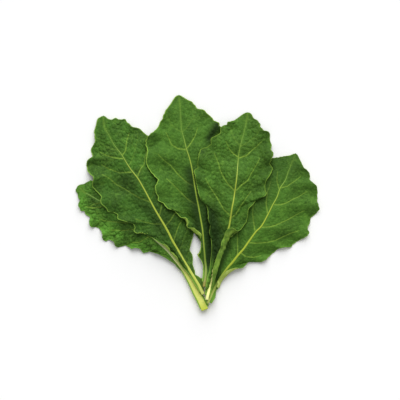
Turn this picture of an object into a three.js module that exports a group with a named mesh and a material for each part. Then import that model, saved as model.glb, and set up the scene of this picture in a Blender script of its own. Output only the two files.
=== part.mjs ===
// A bunch of five kale leaves that lies flat in a fan, with the cut stalks together at -Y.
// Units are millimetres: +X across the fan, +Y from the stalks to the tips, +Z up from the surface.
// Each leaf has a green blade and a pale stalk, which runs up through the blade as its midrib.

import * as THREE from "three";

// Driving dimensions
const BLADE_THICKNESS = 0.9;
const MIDRIB_GAP = 0.3; // between a midrib and the blade on each side of it
const MIDRIB_PROUD = 0.35; // how far a midrib stands above its blade
const STALK_UNDERSIDE = 0.28; // half the width of its flat underside, of the whole width
const STALK_CROWN = 0.24; // half the width of its crown
const MIDRIB_TIP_WIDTH = 1.3;
const MIDRIB_TIP_DEPTH = 1.1;
const MIDRIB_MIDDLE_WIDTH = 2.2;
const MIDRIB_MIDDLE_DEPTH = 2.2;
const MIDRIB_MIDDLE_AT = 0.4; // of the blade's length
const FOOT_WIDTH_SHARE = 0.6; // of the way from the stalk's width to the middle of the midrib's
const FOOT_DEPTH_SHARE = 0.5;
const MIDRIB_ENDS_AT = 0.92; // of the blade's length
const NARROWEST_HALF = 1.2; // of a blade, from the midrib's gap to where its margin turns up
const LOOKUPS = 400; // places along a curve among which the nearest one is looked for
const WING_WITHIN = 0.5; // of a margin, in which its wing ends
const POINTED_FROM = 0.93; // of the blade's length, where its turned margins start to shrink
const SIZE_AT_TIP = 0.3; // of the turned margin and the narrowest half, as a share
const FOOT_ENDS_AT = 0.06; // of the blade's length, where they have grown from the wing's size
const SIZE_OF_WING = 0.35;
const TURN_RADIUS = 1.6; // of a margin that turns up or folds over
const FOLD_CLEARANCE = 1.7; // between the middle of a blade and that of its margin folded over it
const FOLDED_FROM = THREE.MathUtils.degToRad(140); // a margin turned so far lies over its blade
const FOLD_CHECKS = [0.15, 0.3, 0.5, 0.75, 1]; // along a folded flap
const CHORD_OF_MARGIN = 0.03; // as a share, on each side of where a fold's direction is read
const EDGE_REST = 0.4; // the middle of a blade's thickness above the surface, at its margin
const LAYER_CLEARANCE = 1.4; // between the middle of a blade and what it lies on
const DRAPE_RADIUS = 28; // of the bend where a leaf lies over another one's edge
const FOOT_RADIUS = 0.8; // the same bend at a blade's foot, where leaves lie side by side
const FOOT_UNTIL = 0.05; // of the blade's length
const DRAPED_FROM = 0.32; // of the blade's length
const DRAPE_REACH = 30; // how far from that edge the bend can start
const DRAPE_BLEND = 1.2;
const SLOPE_OF_STALK = 0.42; // the steepest that a stalk climbs from the surface
const SIDE_VEINS = 7; // on each side of a midrib
const QUILTING = 0.9; // the blade's rise between two side veins
const FULL_WAVES_FROM = 30; // half a blade this wide has its whole ruffle and quilting
const RUFFLE_GROWTH = 2.2; // the power with which the ruffle grows from the midrib to the margin
const TROUGH_LEVEL = 0.4; // of the ruffle, so that its troughs are flat
const WAVES_WANDER = 0.16; // of a wave's length, by which waves come early or late
const WANDERS = 2.3; // how often they do so along a margin
const RIB_ROOM_WIDTH = 12; // a blade comes down to what it lies on this far from its midrib
const SQUARE_UNTIL = 5; // half a blade narrower than this runs square to the midrib
const SWEPT_FROM = 16; // and one wider than this runs to its place on the margin
const SWEPT_TO_TIP = [0.5, 0.75]; // from here to there along the blade all rows come to run so
const MARGIN_SWEEP = 0.86; // under 1, side veins and rows run forward to the margin

// How finely the blades and stalks are divided
const ROWS = 44;
const WING_ROWS = 4; // along the stalk, below the blade's foot
const ACROSS = [0, 0.32, 0.6, 0.82, 1]; // from the midrib to where the margin turns up
const BARE_SECTIONS = 3; // of a stalk below its wings; above them there is one for each row
const CURVE_DIVISIONS = 1200;
const LEVEL_STEPS = 160;
const LEVEL_SMOOTHING = 4; // steps on each side
const MAP_CELL = 2;

const BLADE_LOOK = { color: "#4c712c", roughness: 0.6, metalness: 0 };
const STALK_LOOK = { color: "#b5c254", roughness: 0.5, metalness: 0 };

// The leaves in the order in which they lie, the lowest first. Each midrib runs from the cut end to
// the tip, and each margin from the foot of the wing to the tip, left and right as seen from there.
// A wing is the narrow strip of blade that runs down along the stalk.
// A turn says, at a fraction of the blade's length, how far the margin's flap reaches past its bend
// and by how many degrees it is turned up. Past a right angle it folds back over the blade.
const PLAIN_TURN = [[0, 0.4, 25], [0.5, 0.6, 38], [1, 0.4, 25]];

const LEAF_1 = {
  name: "leaf_1", // at the lower left, mostly under the second leaf
  bareStalk: 3,
  wing: 51,
  stalkWidth: 7.8,
  stalkDepth: 5.6,
  arch: 6,
  ruffle: 4,
  waves: 9,
  wavePhase: 0.4,
  midrib: [
    [9, -128], [3.6, -116], [-0.6, -108.6], [-4.2, -101.4], [-7.8, -94.2], [-12, -87], [-16.6, -79.8],
    [-22.3, -72.6], [-28.2, -65.4], [-34.3, -58.2], [-41.5, -51.5], [-49, -45], [-60, -35], [-83, -17],
    [-106, -2], [-118, 3], [-134, 12], [-146.4, 16],
  ],
  left: [
    [3, -125], [-2, -116], [-5.4, -108.6], [-8.5, -101.4], [-12.2, -94.2], [-15.8, -87], [-20.4, -79],
    [-26.4, -71.8], [-31.8, -67.8], [-37.9, -64.3], [-43.6, -62], [-49.8, -60.2], [-60, -58], [-65, -60],
    [-69, -55], [-77, -54], [-79, -55], [-86, -51], [-91, -52], [-96, -53], [-99, -51], [-100, -47],
    [-107, -44], [-110, -46], [-114, -43], [-114, -38], [-116, -33], [-121, -29], [-127, -29],
    [-129, -27], [-130, -22], [-129, -17], [-134, -14], [-136, -10], [-140, -9], [-142, -5], [-143, -1],
    [-141, 3], [-143, 6], [-144, 11], [-146, 14],
  ],
  right: [
    [12, -119], [10, -115.5], [5.5, -108.6], [1.5, -101.5], [-2.5, -94], [-7, -87], [-12, -80],
    [-16, -74], [-22, -65], [-31, -54], [-40, -45], [-50, -33], [-60, -18], [-72, -2], [-86, 12],
    [-100, 22], [-113, 28], [-126, 27], [-131, 26], [-136, 23], [-141, 22], [-144, 20], [-145, 18],
  ],
  leftTurn: PLAIN_TURN,
  rightTurn: PLAIN_TURN,
};

const LEAF_5 = {
  name: "leaf_5", // at the right, with its upper side under the fourth leaf
  bareStalk: 2,
  wing: 25,
  stalkWidth: 2.4,
  stalkDepth: 3,
  arch: 8,
  ruffle: 3.8,
  waves: 8,
  wavePhase: 2.1,
  midrib: [
    [12, -120], [15.6, -112.5], [18, -107.5], [21.3, -101.4], [23.3, -97.8], [26, -92.5], [30.5, -85.5],
    [37.5, -76], [41.5, -71.5], [48, -63], [55, -55], [62, -45], [70, -34], [76, -28], [85, -12],
    [90, -2], [95, 7], [99, 18], [105, 27], [109, 38], [118, 59.6],
  ],
  left: [
    [10.5, -117.5], [13, -111.5], [17.5, -102.5], [19.5, -96.5], [21.5, -90], [24, -80], [26.5, -68],
    [29, -55], [31, -42], [33, -28], [36, -12], [42, 4], [50, 20], [60, 36], [70, 47], [80, 53], [90, 54],
    [98, 55], [103, 56], [110, 57], [116, 59],
  ],
  right: [
    [15.5, -122], [17.8, -119], [20, -115.5], [21.2, -112], [21.6, -108.5], [22, -105], [26, -101.5],
    [27.6, -98], [28.8, -94.2], [31.2, -90.6], [33.6, -87], [37.2, -83.4], [41, -80.5], [46, -78.5],
    [51, -78], [55, -77], [58, -74], [61, -70.8], [67, -70], [76, -70.8], [83, -67], [87, -63], [92, -59],
    [97, -55], [104, -53], [112.4, -52.6], [114.6, -49.8], [123.4, -43.9], [129.6, -40.8], [133.8, -36.4],
    [132, -30],
    [135, -24], [136, -18], [142, -13], [146, -7], [144, 1], [144, 14], [143, 20], [139, 24], [135, 28],
    [135, 34], [132, 39], [128, 42], [124, 50], [121, 56], [120, 58],
  ],
  leftTurn: PLAIN_TURN,
  rightTurn: [
    [-0.035, 0.5, 60], [-0.022, 3.5, 150], [0.005, 4.6, 155], [0.045, 4.2, 155], [0.06, 4.6, 155],
    [0.079, 2.4, 150], [0.096, 1, 110], [0.11, 0.6, 50], [1, 0.4, 25],
  ],
};

const LEAF_2 = {
  name: "leaf_2", // at the upper left
  bareStalk: 4,
  wing: 17,
  stalkWidth: 3.6,
  stalkDepth: 4,
  arch: 8,
  ruffle: 4,
  waves: 9,
  wavePhase: 1.2,
  midrib: [
    [7, -109], [1.2, -97.8], [-5.4, -87], [-12, -76.2], [-18.6, -65.4], [-24.6, -54.6], [-29.5, -46],
    [-37, -31], [-50, -9], [-64, 17], [-71, 29], [-81, 42], [-91, 58], [-100, 70], [-106, 81],
    [-112, 92], [-113, 104.8],
  ],
  left: [
    [2.4, -105], [-3, -97.8], [-9.5, -87], [-13.8, -79.8], [-17, -76], [-20.4, -72.6], [-25.8, -65.4],
    [-30, -61.8], [-34, -57], [-40.2, -50.5], [-47, -46], [-55, -41], [-63, -37], [-67, -35],
    [-73, -36], [-76, -33], [-75, -29], [-77, -25], [-82, -23], [-89, -21], [-95, -19], [-96, -14],
    [-100, -11], [-107, -10], [-110, -5], [-114, -2], [-116, 3], [-115, 7], [-122, 15], [-126, 20],
    [-125, 27], [-124, 30], [-129, 35], [-131, 37], [-133, 43], [-133, 49], [-130, 53], [-126, 56],
    [-128, 62], [-127, 67], [-124, 71], [-123, 77], [-124, 86], [-122, 93], [-120, 101], [-117, 103],
    [-115, 104],
  ],
  right: [
    [8.6, -105], [7.4, -99], [6, -93], [5, -89.4], [2.6, -88.4], [-1.6, -84.6], [-6, -79.8],
    [-6, -77], [-7.2, -73.6], [-8.5, -68.4], [-7, -65], [-6.8, -61], [-9.4, -56.4], [-8, -49.5],
    [-6.2, -42.7], [-4.6, -34.6], [-4, -23], [-9, -6], [-16, 13], [-26, 32], [-38, 52], [-50, 68], [-60, 81],
    [-63, 83], [-67, 87], [-71, 90], [-77, 91], [-82, 95], [-85, 98], [-88, 101], [-93, 100],
    [-98, 102], [-103, 100], [-107, 101], [-111, 104],
  ],
  leftTurn: [
    [0, 0.4, 30], [0.07, 0.8, 70], [0.09, 2.4, 150], [0.11, 2.6, 150], [0.118, 1, 110], [0.13, 2.6, 150],
    [0.15, 2.6, 150], [0.17, 1, 80], [0.2, 0.6, 40], [1, 0.4, 25],
  ],
  rightTurn: PLAIN_TURN,
};

const LEAF_3 = {
  name: "leaf_3", // in the middle, the longest
  bareStalk: 6,
  wing: 7,
  stalkWidth: 3.4,
  stalkDepth: 3.8,
  arch: 8,
  ruffle: 3.8,
  waves: 8,
  wavePhase: 0.2,
  midrib: [
    [8, -100], [9, -92], [10, -80], [9, -68], [8, -56], [7, -44], [6, -32], [4, -20], [1, -3], [-1, 7],
    [-3, 19], [-7, 43], [-10, 55], [-13, 64], [-16, 76], [-19, 88], [-20, 101], [-21, 116], [-22.4, 129.6],
  ],
  left: [
    [5.4, -93], [6.2, -87], [6.7, -80], [6.9, -74], [6.7, -70], [5.4, -66], [2.5, -62.4], [-0.4, -60],
    [1.4, -57], [2.9, -53.8], [4, -49.5], [4.2, -46], [3.8, -42.5], [2.6, -39.3], [-0.5, -36.7],
    [-4, -35], [-8, -31], [-13, -28], [-13, -24],
    [-15, -19], [-20, -17], [-24, -13], [-28, -9], [-36, -6], [-41, 0], [-47, 3], [-47, 7], [-50, 14],
    [-50, 21], [-47, 27], [-52, 33], [-57, 39], [-61, 47], [-61, 55], [-60, 63], [-62, 70], [-61, 77],
    [-57, 82], [-52, 86], [-47, 92], [-45, 97], [-42, 101], [-41, 105], [-37, 113], [-33, 118],
    [-29, 124.4], [-26.6, 127.6], [-24.2, 129.2],
  ],
  right: [
    [12, -93], [13.5, -87], [16.5, -75], [18.5, -60], [20, -45], [22, -32], [27, -20], [34, -6], [40, 10],
    [44, 28], [46, 46], [45, 62], [40, 76], [34, 85], [27, 92.4], [25.4, 96.6], [20.4, 98.8], [16.4, 103.6],
    [12, 107], [7, 112], [1, 113], [-3, 117], [-6, 121], [-12, 124], [-17.4, 127.4], [-20.4, 129.2],
  ],
  leftTurn: [
    [0, 0.4, 30], [0.06, 0.5, 60], [0.075, 1.2, 140], [0.095, 1, 140], [0.11, 0.4, 40], [0.135, 0.5, 60],
    [0.15, 3.6, 150], [0.17, 4.6, 158], [0.19, 4.2, 158], [0.2, 1.6, 140], [0.207, 0.8, 90],
    [0.222, 2.2, 145], [0.255, 2.4, 150], [0.272, 0.8, 70], [0.33, 0.6, 50], [1, 0.4, 30],
  ],
  rightTurn: PLAIN_TURN,
};

const LEAF_4 = {
  name: "leaf_4", // at the upper right, on top of the others
  bareStalk: 5,
  wing: 19,
  stalkWidth: 3.2,
  stalkDepth: 4,
  arch: 7,
  ruffle: 4.2,
  waves: 9,
  wavePhase: 1.7,
  midrib: [
    [11, -115.5], [12.6, -108.6], [14.3, -101.5], [16.4, -93], [18, -87], [19, -81], [20.5, -75],
    [23.5, -67], [27.5, -57], [31.5, -47.5], [35, -36], [38, -27], [41, -7], [43, 3], [45, 17],
    [47, 32], [48, 44], [49, 55], [50, 62], [52, 71], [55, 82], [58, 95], [60.2, 108.9],
  ],
  left: [
    [9, -109], [9.3, -103], [10, -96], [11.8, -88], [14.2, -78], [16, -70], [17.2, -60], [17, -52],
    [16, -42], [14, -35], [15, -27], [13, -20], [12, -8], [10, -2], [4, 4], [-1, 22], [-3, 33],
    [-4, 39], [0, 42], [0, 48], [4, 64], [12, 67], [16, 71], [16, 77], [21, 80], [27, 84], [28, 91],
    [34.6, 94], [36.6, 97], [43.6, 99], [49.5, 103], [54.5, 106.6], [58, 108.4],
  ],
  right: [
    [15.6, -108], [17.5, -101], [20, -95], [22, -87], [25.2, -74], [29.8, -62], [33.6, -53], [37, -45],
    [39.5, -38], [44, -34], [51, -32], [55, -27], [58, -23], [60, -15], [61, -7], [67, -1], [70, 4],
    [77, 7], [82, 10], [81, 17], [81, 22], [83, 28], [87, 34], [90, 42], [87, 46], [89, 54], [91, 59],
    [88, 64], [89, 70], [87, 75], [87, 81], [86, 85], [80, 87], [76, 91], [75, 95], [72, 99], [67.4, 101.8],
    [65, 106.4], [62.6, 108.4],
  ],
  leftTurn: PLAIN_TURN,
  rightTurn: [
    [-0.08, 0.5, 60], [-0.01, 1.6, 140], [0.014, 3.4, 155], [0.054, 5.4, 160], [0.08, 5.4, 165],
    [0.1, 6, 165], [0.125, 5.4, 165], [0.15, 7.4, 168], [0.175, 6.6, 168], [0.2, 7.8, 168], [0.215, 7, 165],
    [0.225, 3, 130], [0.24, 0.6, 50], [1, 0.4, 30],
  ],
};

const LEAVES_AS_THEY_LIE = [LEAF_1, LEAF_5, LEAF_2, LEAF_3, LEAF_4];

// Small helpers

function mix(a, b, share) {
  return a + (b - a) * share;
}

function smoothStep(from, to, value) {
  const share = Math.min(1, Math.max(0, (value - from) / (to - from)));
  return share * share * (3 - 2 * share);
}

function softMax(a, b, blend) {
  return (a + b + Math.sqrt((a - b) ** 2 + blend ** 2)) / 2;
}

function atStation(stations, place) {
  // The values of a list of [place, value, value, ...] at one place, straight between stations.
  let k = 0;
  while (k < stations.length - 2 && stations[k + 1][0] < place) k += 1;
  const [a, b] = [stations[k], stations[k + 1]];
  const share = Math.min(1, Math.max(0, (place - a[0]) / (b[0] - a[0])));
  return a.slice(1).map((value, n) => mix(value, b[n + 1], share));
}

function planCurve(points) {
  const curve = new THREE.CatmullRomCurve3(points.map(([x, y]) => new THREE.Vector3(x, y, 0)));
  curve.arcLengthDivisions = CURVE_DIVISIONS;
  return curve;
}

// What the leaves laid so far reach up to, on a grid over the whole bunch

const MAP_HALF_SIZE = 190;
const MAP_SIDE = Math.round((2 * MAP_HALF_SIZE) / MAP_CELL) + 1;

function emptyMap() {
  return new Float64Array(MAP_SIDE * MAP_SIDE);
}

function mapIndex(x, y) {
  const column = Math.round((x + MAP_HALF_SIZE) / MAP_CELL);
  const row = Math.round((y + MAP_HALF_SIZE) / MAP_CELL);
  return row * MAP_SIDE + column;
}

function raiseMap(map, x, y, z) {
  const index = mapIndex(x, y);
  map[index] = Math.max(map[index], z);
}

function widened(map, step, radius) {
  // Each height also holds up its surroundings along one direction, less by a parabola.
  const reach = Math.round(DRAPE_REACH / MAP_CELL);
  const result = Float64Array.from(map);
  for (let index = 0; index < map.length; index += 1) {
    for (let k = -reach; k <= reach; k += 1) {
      const height = map[index + k * step];
      if (height === undefined) continue;
      result[index] = Math.max(result[index], height - (k * MAP_CELL) ** 2 / (2 * radius));
    }
  }
  return result;
}

function drapeOver(map) {
  // How high a leaf is held at a place, at a fraction of its blade's length.
  const wide = widened(widened(map, 1, DRAPE_RADIUS), MAP_SIDE, DRAPE_RADIUS);
  const close = widened(widened(map, 1, FOOT_RADIUS), MAP_SIDE, FOOT_RADIUS);
  return (x, y, u) =>
    mix(heightAt(close, x, y), heightAt(wide, x, y), smoothStep(FOOT_UNTIL, DRAPED_FROM, u));
}

function heightAt(map, x, y) {
  const column = (x + MAP_HALF_SIZE) / MAP_CELL;
  const row = (y + MAP_HALF_SIZE) / MAP_CELL;
  const [c, r] = [Math.floor(column), Math.floor(row)];
  const [across, up] = [column - c, row - r];
  const near = mix(map[r * MAP_SIDE + c], map[r * MAP_SIDE + c + 1], across);
  const far = mix(map[(r + 1) * MAP_SIDE + c], map[(r + 1) * MAP_SIDE + c + 1], across);
  return mix(near, far, up);
}

// The midrib: where it runs in plan, how wide and deep it is, and how high it lies

function midribOf(leaf) {
  const curve = planCurve(leaf.midrib);
  const length = curve.getLength();
  const footShare = (leaf.bareStalk + leaf.wing) / length;
  const wingShare = leaf.wing / length / (1 - footShare); // of the blade's length
  const bladeAt = (u) => mix(footShare, 1, u);
  const footWidth = mix(leaf.stalkWidth, MIDRIB_MIDDLE_WIDTH, FOOT_WIDTH_SHARE);
  const footDepth = mix(leaf.stalkDepth, MIDRIB_MIDDLE_DEPTH, FOOT_DEPTH_SHARE);
  const sizes = [
    [0, leaf.stalkWidth, leaf.stalkDepth],
    [footShare, footWidth, footDepth],
    [bladeAt(MIDRIB_MIDDLE_AT), MIDRIB_MIDDLE_WIDTH, MIDRIB_MIDDLE_DEPTH],
    [1, MIDRIB_TIP_WIDTH, MIDRIB_TIP_DEPTH],
  ];
  const sizeAt = (share) => {
    const [width, depth] = atStation(sizes, share);
    return { width, depth };
  };
  return { curve, length, footShare, wingShare, bladeAt, sizeAt };
}

function marginOf(points, midrib) {
  // A margin, and its share at a fraction of the blade's length, which is below 0 along the wing.
  const curve = planCurve(points);
  const foot = midrib.curve.getPointAt(midrib.footShare);
  const fromFoot = (share) => curve.getPointAt(share).distanceTo(foot);
  let wingEnd = 0;
  for (let share = 0; share < WING_WITHIN; share += 1 / LOOKUPS) {
    if (fromFoot(share) < fromFoot(wingEnd)) wingEnd = share;
  }
  const shareAt = (u) =>
    u < 0 ? wingEnd * (1 + u / midrib.wingShare) : mix(wingEnd, 1, u ** MARGIN_SWEEP);
  return { curve, shareAt };
}

function sideways(curve, share) {
  // The direction to the right of a curve in plan.
  const along = curve.getTangentAt(share);
  return new THREE.Vector3(along.y, -along.x, 0).normalize();
}

function midribHeights(leaf, midrib, heldAt) {
  // The level of the blade along the midrib: it rests on the surface, arches, and clears what is
  // under it, and the stalk climbs gently to its first high place.
  const needed = [];
  for (let k = 0; k <= LEVEL_STEPS; k += 1) {
    const share = k / LEVEL_STEPS;
    const { depth } = midrib.sizeAt(share);
    const place = midrib.curve.getPointAt(share);
    const u = (share - midrib.footShare) / (1 - midrib.footShare);
    const arch = u > 0 ? leaf.arch * Math.sin(Math.PI * u) : 0;
    const held = heldAt(place.x, place.y, u);
    const clear = held + (depth + LAYER_CLEARANCE) * smoothStep(0, BLADE_THICKNESS, held);
    needed.push(Math.max(depth + arch, clear));
  }
  const fall = (SLOPE_OF_STALK * midrib.length) / LEVEL_STEPS;
  const level = needed.map((_, k) =>
    Math.max(...needed.map((height, n) => height - fall * Math.abs(n - k))),
  );
  const smooth = level.map((_, k) => {
    const near = level.slice(Math.max(0, k - LEVEL_SMOOTHING), k + LEVEL_SMOOTHING + 1);
    return near.reduce((sum, height) => sum + height, 0) / near.length;
  });
  return (share) => {
    const place = Math.min(share, 1) * LEVEL_STEPS;
    const k = Math.min(Math.floor(place), LEVEL_STEPS - 1);
    return Math.max(mix(smooth[k], smooth[k + 1], place - k), midrib.sizeAt(share).depth);
  };
}

// One half of a blade, from the midrib to the margin, at one row

function halfRow(leaf, midrib, levelAt, heldAt, side, u) {
  // At a fraction of the blade's length, which is below 0 along the wing.
  const share = midrib.bladeAt(u);
  const middle = midrib.curve.getPointAt(share);
  const out = sideways(midrib.curve, share).multiplyScalar(side);
  const tipSize = mix(1, SIZE_AT_TIP, smoothStep(POINTED_FROM, 1, u));
  const size = tipSize * mix(SIZE_OF_WING, 1, smoothStep(0, FOOT_ENDS_AT, u));
  const slot = tipSize * (midrib.sizeAt(share).width / 2 + MIDRIB_GAP);
  const inner = middle.clone().addScaledVector(out, slot);
  const [fullFlap, degrees] = atStation(side < 0 ? leaf.leftTurn : leaf.rightTurn, u);
  const angle = THREE.MathUtils.degToRad(degrees);
  const [flap, radius] = [fullFlap * tipSize, TURN_RADIUS * size];
  const bulge = degrees < 90 ? radius * Math.sin(angle) + flap * Math.cos(angle) : radius;

  const margin = side < 0 ? leaf.leftMargin : leaf.rightMargin;
  const marginShare = margin.shareAt(u);
  const toCrest = margin.curve.getPointAt(marginShare).sub(inner);
  const swept = Math.max(
    smoothStep(SQUARE_UNTIL, SWEPT_FROM, toCrest.length()),
    smoothStep(SWEPT_TO_TIP[0], SWEPT_TO_TIP[1], u),
  );
  const squareReach = Math.max(toCrest.dot(out), NARROWEST_HALF * size);
  const across = out.clone().multiplyScalar(squareReach).lerp(toCrest, swept);
  const reach = Math.max(across.length() - bulge, NARROWEST_HALF * size);
  across.normalize();

  const level = levelAt(share);
  const ribDepth = midrib.sizeAt(share).depth * smoothStep(0, RIB_ROOM_WIDTH, reach);
  const points = ACROSS.map((t) => {
    const point = inner.clone().addScaledVector(across, reach * t);
    const own = mix(level, EDGE_REST, smoothStep(0, 1, t) * smoothStep(0, FULL_WAVES_FROM, reach));
    const held = heldAt(point.x, point.y, u);
    const ribRoom = ribDepth * (1 - smoothStep(0, RIB_ROOM_WIDTH, reach * t));
    const over = smoothStep(0, BLADE_THICKNESS, held);
    const lifted = held + (LAYER_CLEARANCE + ribRoom) * over;
    point.z = t === 0 ? Math.max(level, lifted) : softMax(own, lifted, DRAPE_BLEND * over);
    point.z += ruffle(leaf, side, marginShare, t, reach) + quilt(u, t, reach);
    return point;
  });
  const heightUnder = (point) => {
    // The height of the blade and of the midrib's crown under the blade's own folded margin.
    const past = point.clone().sub(inner).setZ(0).dot(across) / reach;
    const t = Math.min(1, Math.max(0, past));
    const next = ACROSS.findIndex((place, n) => n > 0 && place >= t);
    const between = (t - ACROSS[next - 1]) / (ACROSS[next] - ACROSS[next - 1]);
    const blade = mix(points[next - 1].z, points[next].z, between);
    return Math.max(blade, crownNear(midrib, levelAt, point));
  };
  const inward = marginInward(margin.curve, marginShare, side);
  const turn = { across, inward, radius, flap, angle };
  return points.concat(turnedMargin(points[points.length - 1], turn, heightUnder));
}

function crownNear(midrib, levelAt, point) {
  // The height of the midrib's crown under a point, or less by the distance from the midrib's side.
  let nearest = { gap: Infinity, share: 0 };
  for (let share = 0; share <= MIDRIB_ENDS_AT; share += 1 / LOOKUPS) {
    const place = midrib.curve.getPointAt(share);
    const gap = Math.hypot(place.x - point.x, place.y - point.y);
    if (gap < nearest.gap) nearest = { gap, share };
  }
  const beside = Math.max(0, nearest.gap - midrib.sizeAt(nearest.share).width / 2 - MIDRIB_GAP);
  return levelAt(nearest.share) + MIDRIB_PROUD + BLADE_THICKNESS / 2 - beside;
}

function marginInward(curve, share, side) {
  // The direction from a margin into its blade, square to a chord of the margin.
  const before = curve.getPointAt(Math.max(share - CHORD_OF_MARGIN, 0));
  const chord = curve.getPointAt(Math.min(share + CHORD_OF_MARGIN, 1)).sub(before);
  return new THREE.Vector3(-chord.y, chord.x, 0).normalize().multiplyScalar(side);
}

function ruffle(leaf, side, marginShare, t, reach) {
  // Uneven waves that grow to the margin. Their troughs are flat and lie on what is below.
  const wander = WAVES_WANDER * Math.sin(2 * Math.PI * (WANDERS * marginShare + leaf.wavePhase));
  const wave = Math.sin(2 * Math.PI * (leaf.waves * marginShare + wander) + leaf.wavePhase + side);
  const grows = t ** RUFFLE_GROWTH * smoothStep(0, FULL_WAVES_FROM, reach);
  return leaf.ruffle * grows * Math.max(0, mix(wave, 1, TROUGH_LEVEL));
}

function quilt(u, t, reach) {
  const swell = 0.5 - 0.5 * Math.cos(2 * Math.PI * SIDE_VEINS * u);
  return QUILTING * swell * Math.sin(Math.PI * t) * smoothStep(0, FULL_WAVES_FROM, reach);
}

function turnedMargin(edge, turn, heightUnder) {
  // Two more points past the edge: half way round the bend, and at the end of the flap. A flap that
  // is folded over its blade is raised at its end until it clears the blade.
  const { across, inward, radius, flap, angle } = turn;
  const onBend = (turned) =>
    edge
      .clone()
      .addScaledVector(across, radius * Math.sin(turned))
      .add(new THREE.Vector3(0, 0, radius * (1 - Math.cos(turned))));
  const bendEnd = onBend(angle);
  const folded = smoothStep(Math.PI / 2, FOLDED_FROM, angle);
  const direction = across.clone().multiplyScalar(Math.sign(Math.cos(angle))).lerp(inward, folded);
  const end = bendEnd.clone().addScaledVector(direction.normalize(), flap * Math.abs(Math.cos(angle)));
  end.z += flap * Math.sin(angle);
  if (folded === 0) return [onBend(angle / 2), end];
  const rises = FOLD_CHECKS.map((share) => {
    const point = bendEnd.clone().lerp(end, share);
    return (heightUnder(point) + FOLD_CLEARANCE - point.z) / share;
  });
  end.z += folded * Math.max(0, ...rises);
  return [onBend(angle / 2), end];
}

// A closed sheet of constant thickness from a grid of points, with some cells left out

function normalAt(grid, i, j) {
  const above = grid[Math.min(i + 1, grid.length - 1)][j];
  const below = grid[Math.max(i - 1, 0)][j];
  const left = grid[i][Math.max(j - 1, 0)];
  const right = grid[i][Math.min(j + 1, grid[i].length - 1)];
  const across = right.clone().sub(left);
  return across.cross(above.clone().sub(below)).normalize();
}

function sheetSolid(grid, keeps) {
  const rows = grid.length;
  const columns = grid[0].length;
  const positions = [];
  for (const half of [BLADE_THICKNESS / 2, -BLADE_THICKNESS / 2]) {
    for (let i = 0; i < rows; i += 1) {
      for (let j = 0; j < columns; j += 1) {
        const point = grid[i][j].clone().addScaledVector(normalAt(grid, i, j), half);
        positions.push(point.x, point.y, Math.max(point.z, half > 0 ? BLADE_THICKNESS / 2 : 0));
      }
    }
  }
  const lower = rows * columns;
  const corner = (i, j) => i * columns + j;
  const faces = [];
  for (let i = 0; i < rows - 1; i += 1) {
    for (let j = 0; j < columns - 1; j += 1) {
      if (!keeps(i, j)) continue;
      const [a, b, c, d] = [corner(i, j), corner(i, j + 1), corner(i + 1, j + 1), corner(i + 1, j)];
      faces.push([a, b, c], [a, c, d]);
      faces.push([a + lower, c + lower, b + lower], [a + lower, d + lower, c + lower]);
      const edges = [
        [a, b, keeps(i - 1, j)],
        [b, c, keeps(i, j + 1)],
        [c, d, keeps(i + 1, j)],
        [d, a, keeps(i, j - 1)],
      ];
      for (const [from, to, hasNeighbour] of edges) {
        if (hasNeighbour) continue;
        faces.push([to, from, from + lower], [to, from + lower, to + lower]);
      }
    }
  }
  return solidGeometry(positions, faces);
}

function solidGeometry(positions, faces) {
  const used = new Map();
  const kept = [];
  for (const index of faces.flat()) {
    if (used.has(index)) continue;
    used.set(index, used.size);
    kept.push(positions[3 * index], positions[3 * index + 1], positions[3 * index + 2]);
  }
  const geometry = new THREE.BufferGeometry();
  geometry.setAttribute("position", new THREE.Float32BufferAttribute(kept, 3));
  geometry.setIndex(faces.flat().map((index) => used.get(index)));
  geometry.computeVertexNormals();
  return geometry;
}

// The blade of a leaf: two halves, joined past the midrib's end

function bladeGrid(leaf, midrib, levelAt, heldAt) {
  return rowPlaces(midrib).map((u) => {
    const left = halfRow(leaf, midrib, levelAt, heldAt, -1, u).reverse();
    const right = halfRow(leaf, midrib, levelAt, heldAt, 1, u);
    return left.concat(right);
  });
}

function rowPlaces(midrib) {
  // Fractions of the blade's length, first those along the wing.
  const places = [];
  for (let k = 0; k < WING_ROWS; k += 1) places.push(midrib.wingShare * (k / WING_ROWS - 1));
  for (let k = 0; k <= ROWS; k += 1) places.push(k / ROWS);
  return places;
}

const SLOT_ROWS = WING_ROWS + Math.ceil(MIDRIB_ENDS_AT * ROWS);

function bladeSolid(grid) {
  const slotColumn = grid[0].length / 2 - 1;
  const keeps = (i, j) => {
    if (i < 0 || j < 0 || i >= grid.length - 1 || j >= grid[0].length - 1) return false;
    return j !== slotColumn || i >= SLOT_ROWS;
  };
  return sheetSolid(grid, keeps);
}

// The stalk with its midrib: a rod with a flat underside, which tapers to the tip

function stalkSection(width, depth) {
  return [
    [-0.5 * width, 0],
    [-STALK_UNDERSIDE * width, -depth],
    [STALK_UNDERSIDE * width, -depth],
    [0.5 * width, 0],
    [STALK_CROWN * width, MIDRIB_PROUD + BLADE_THICKNESS / 2],
    [-STALK_CROWN * width, MIDRIB_PROUD + BLADE_THICKNESS / 2],
  ];
}

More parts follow.
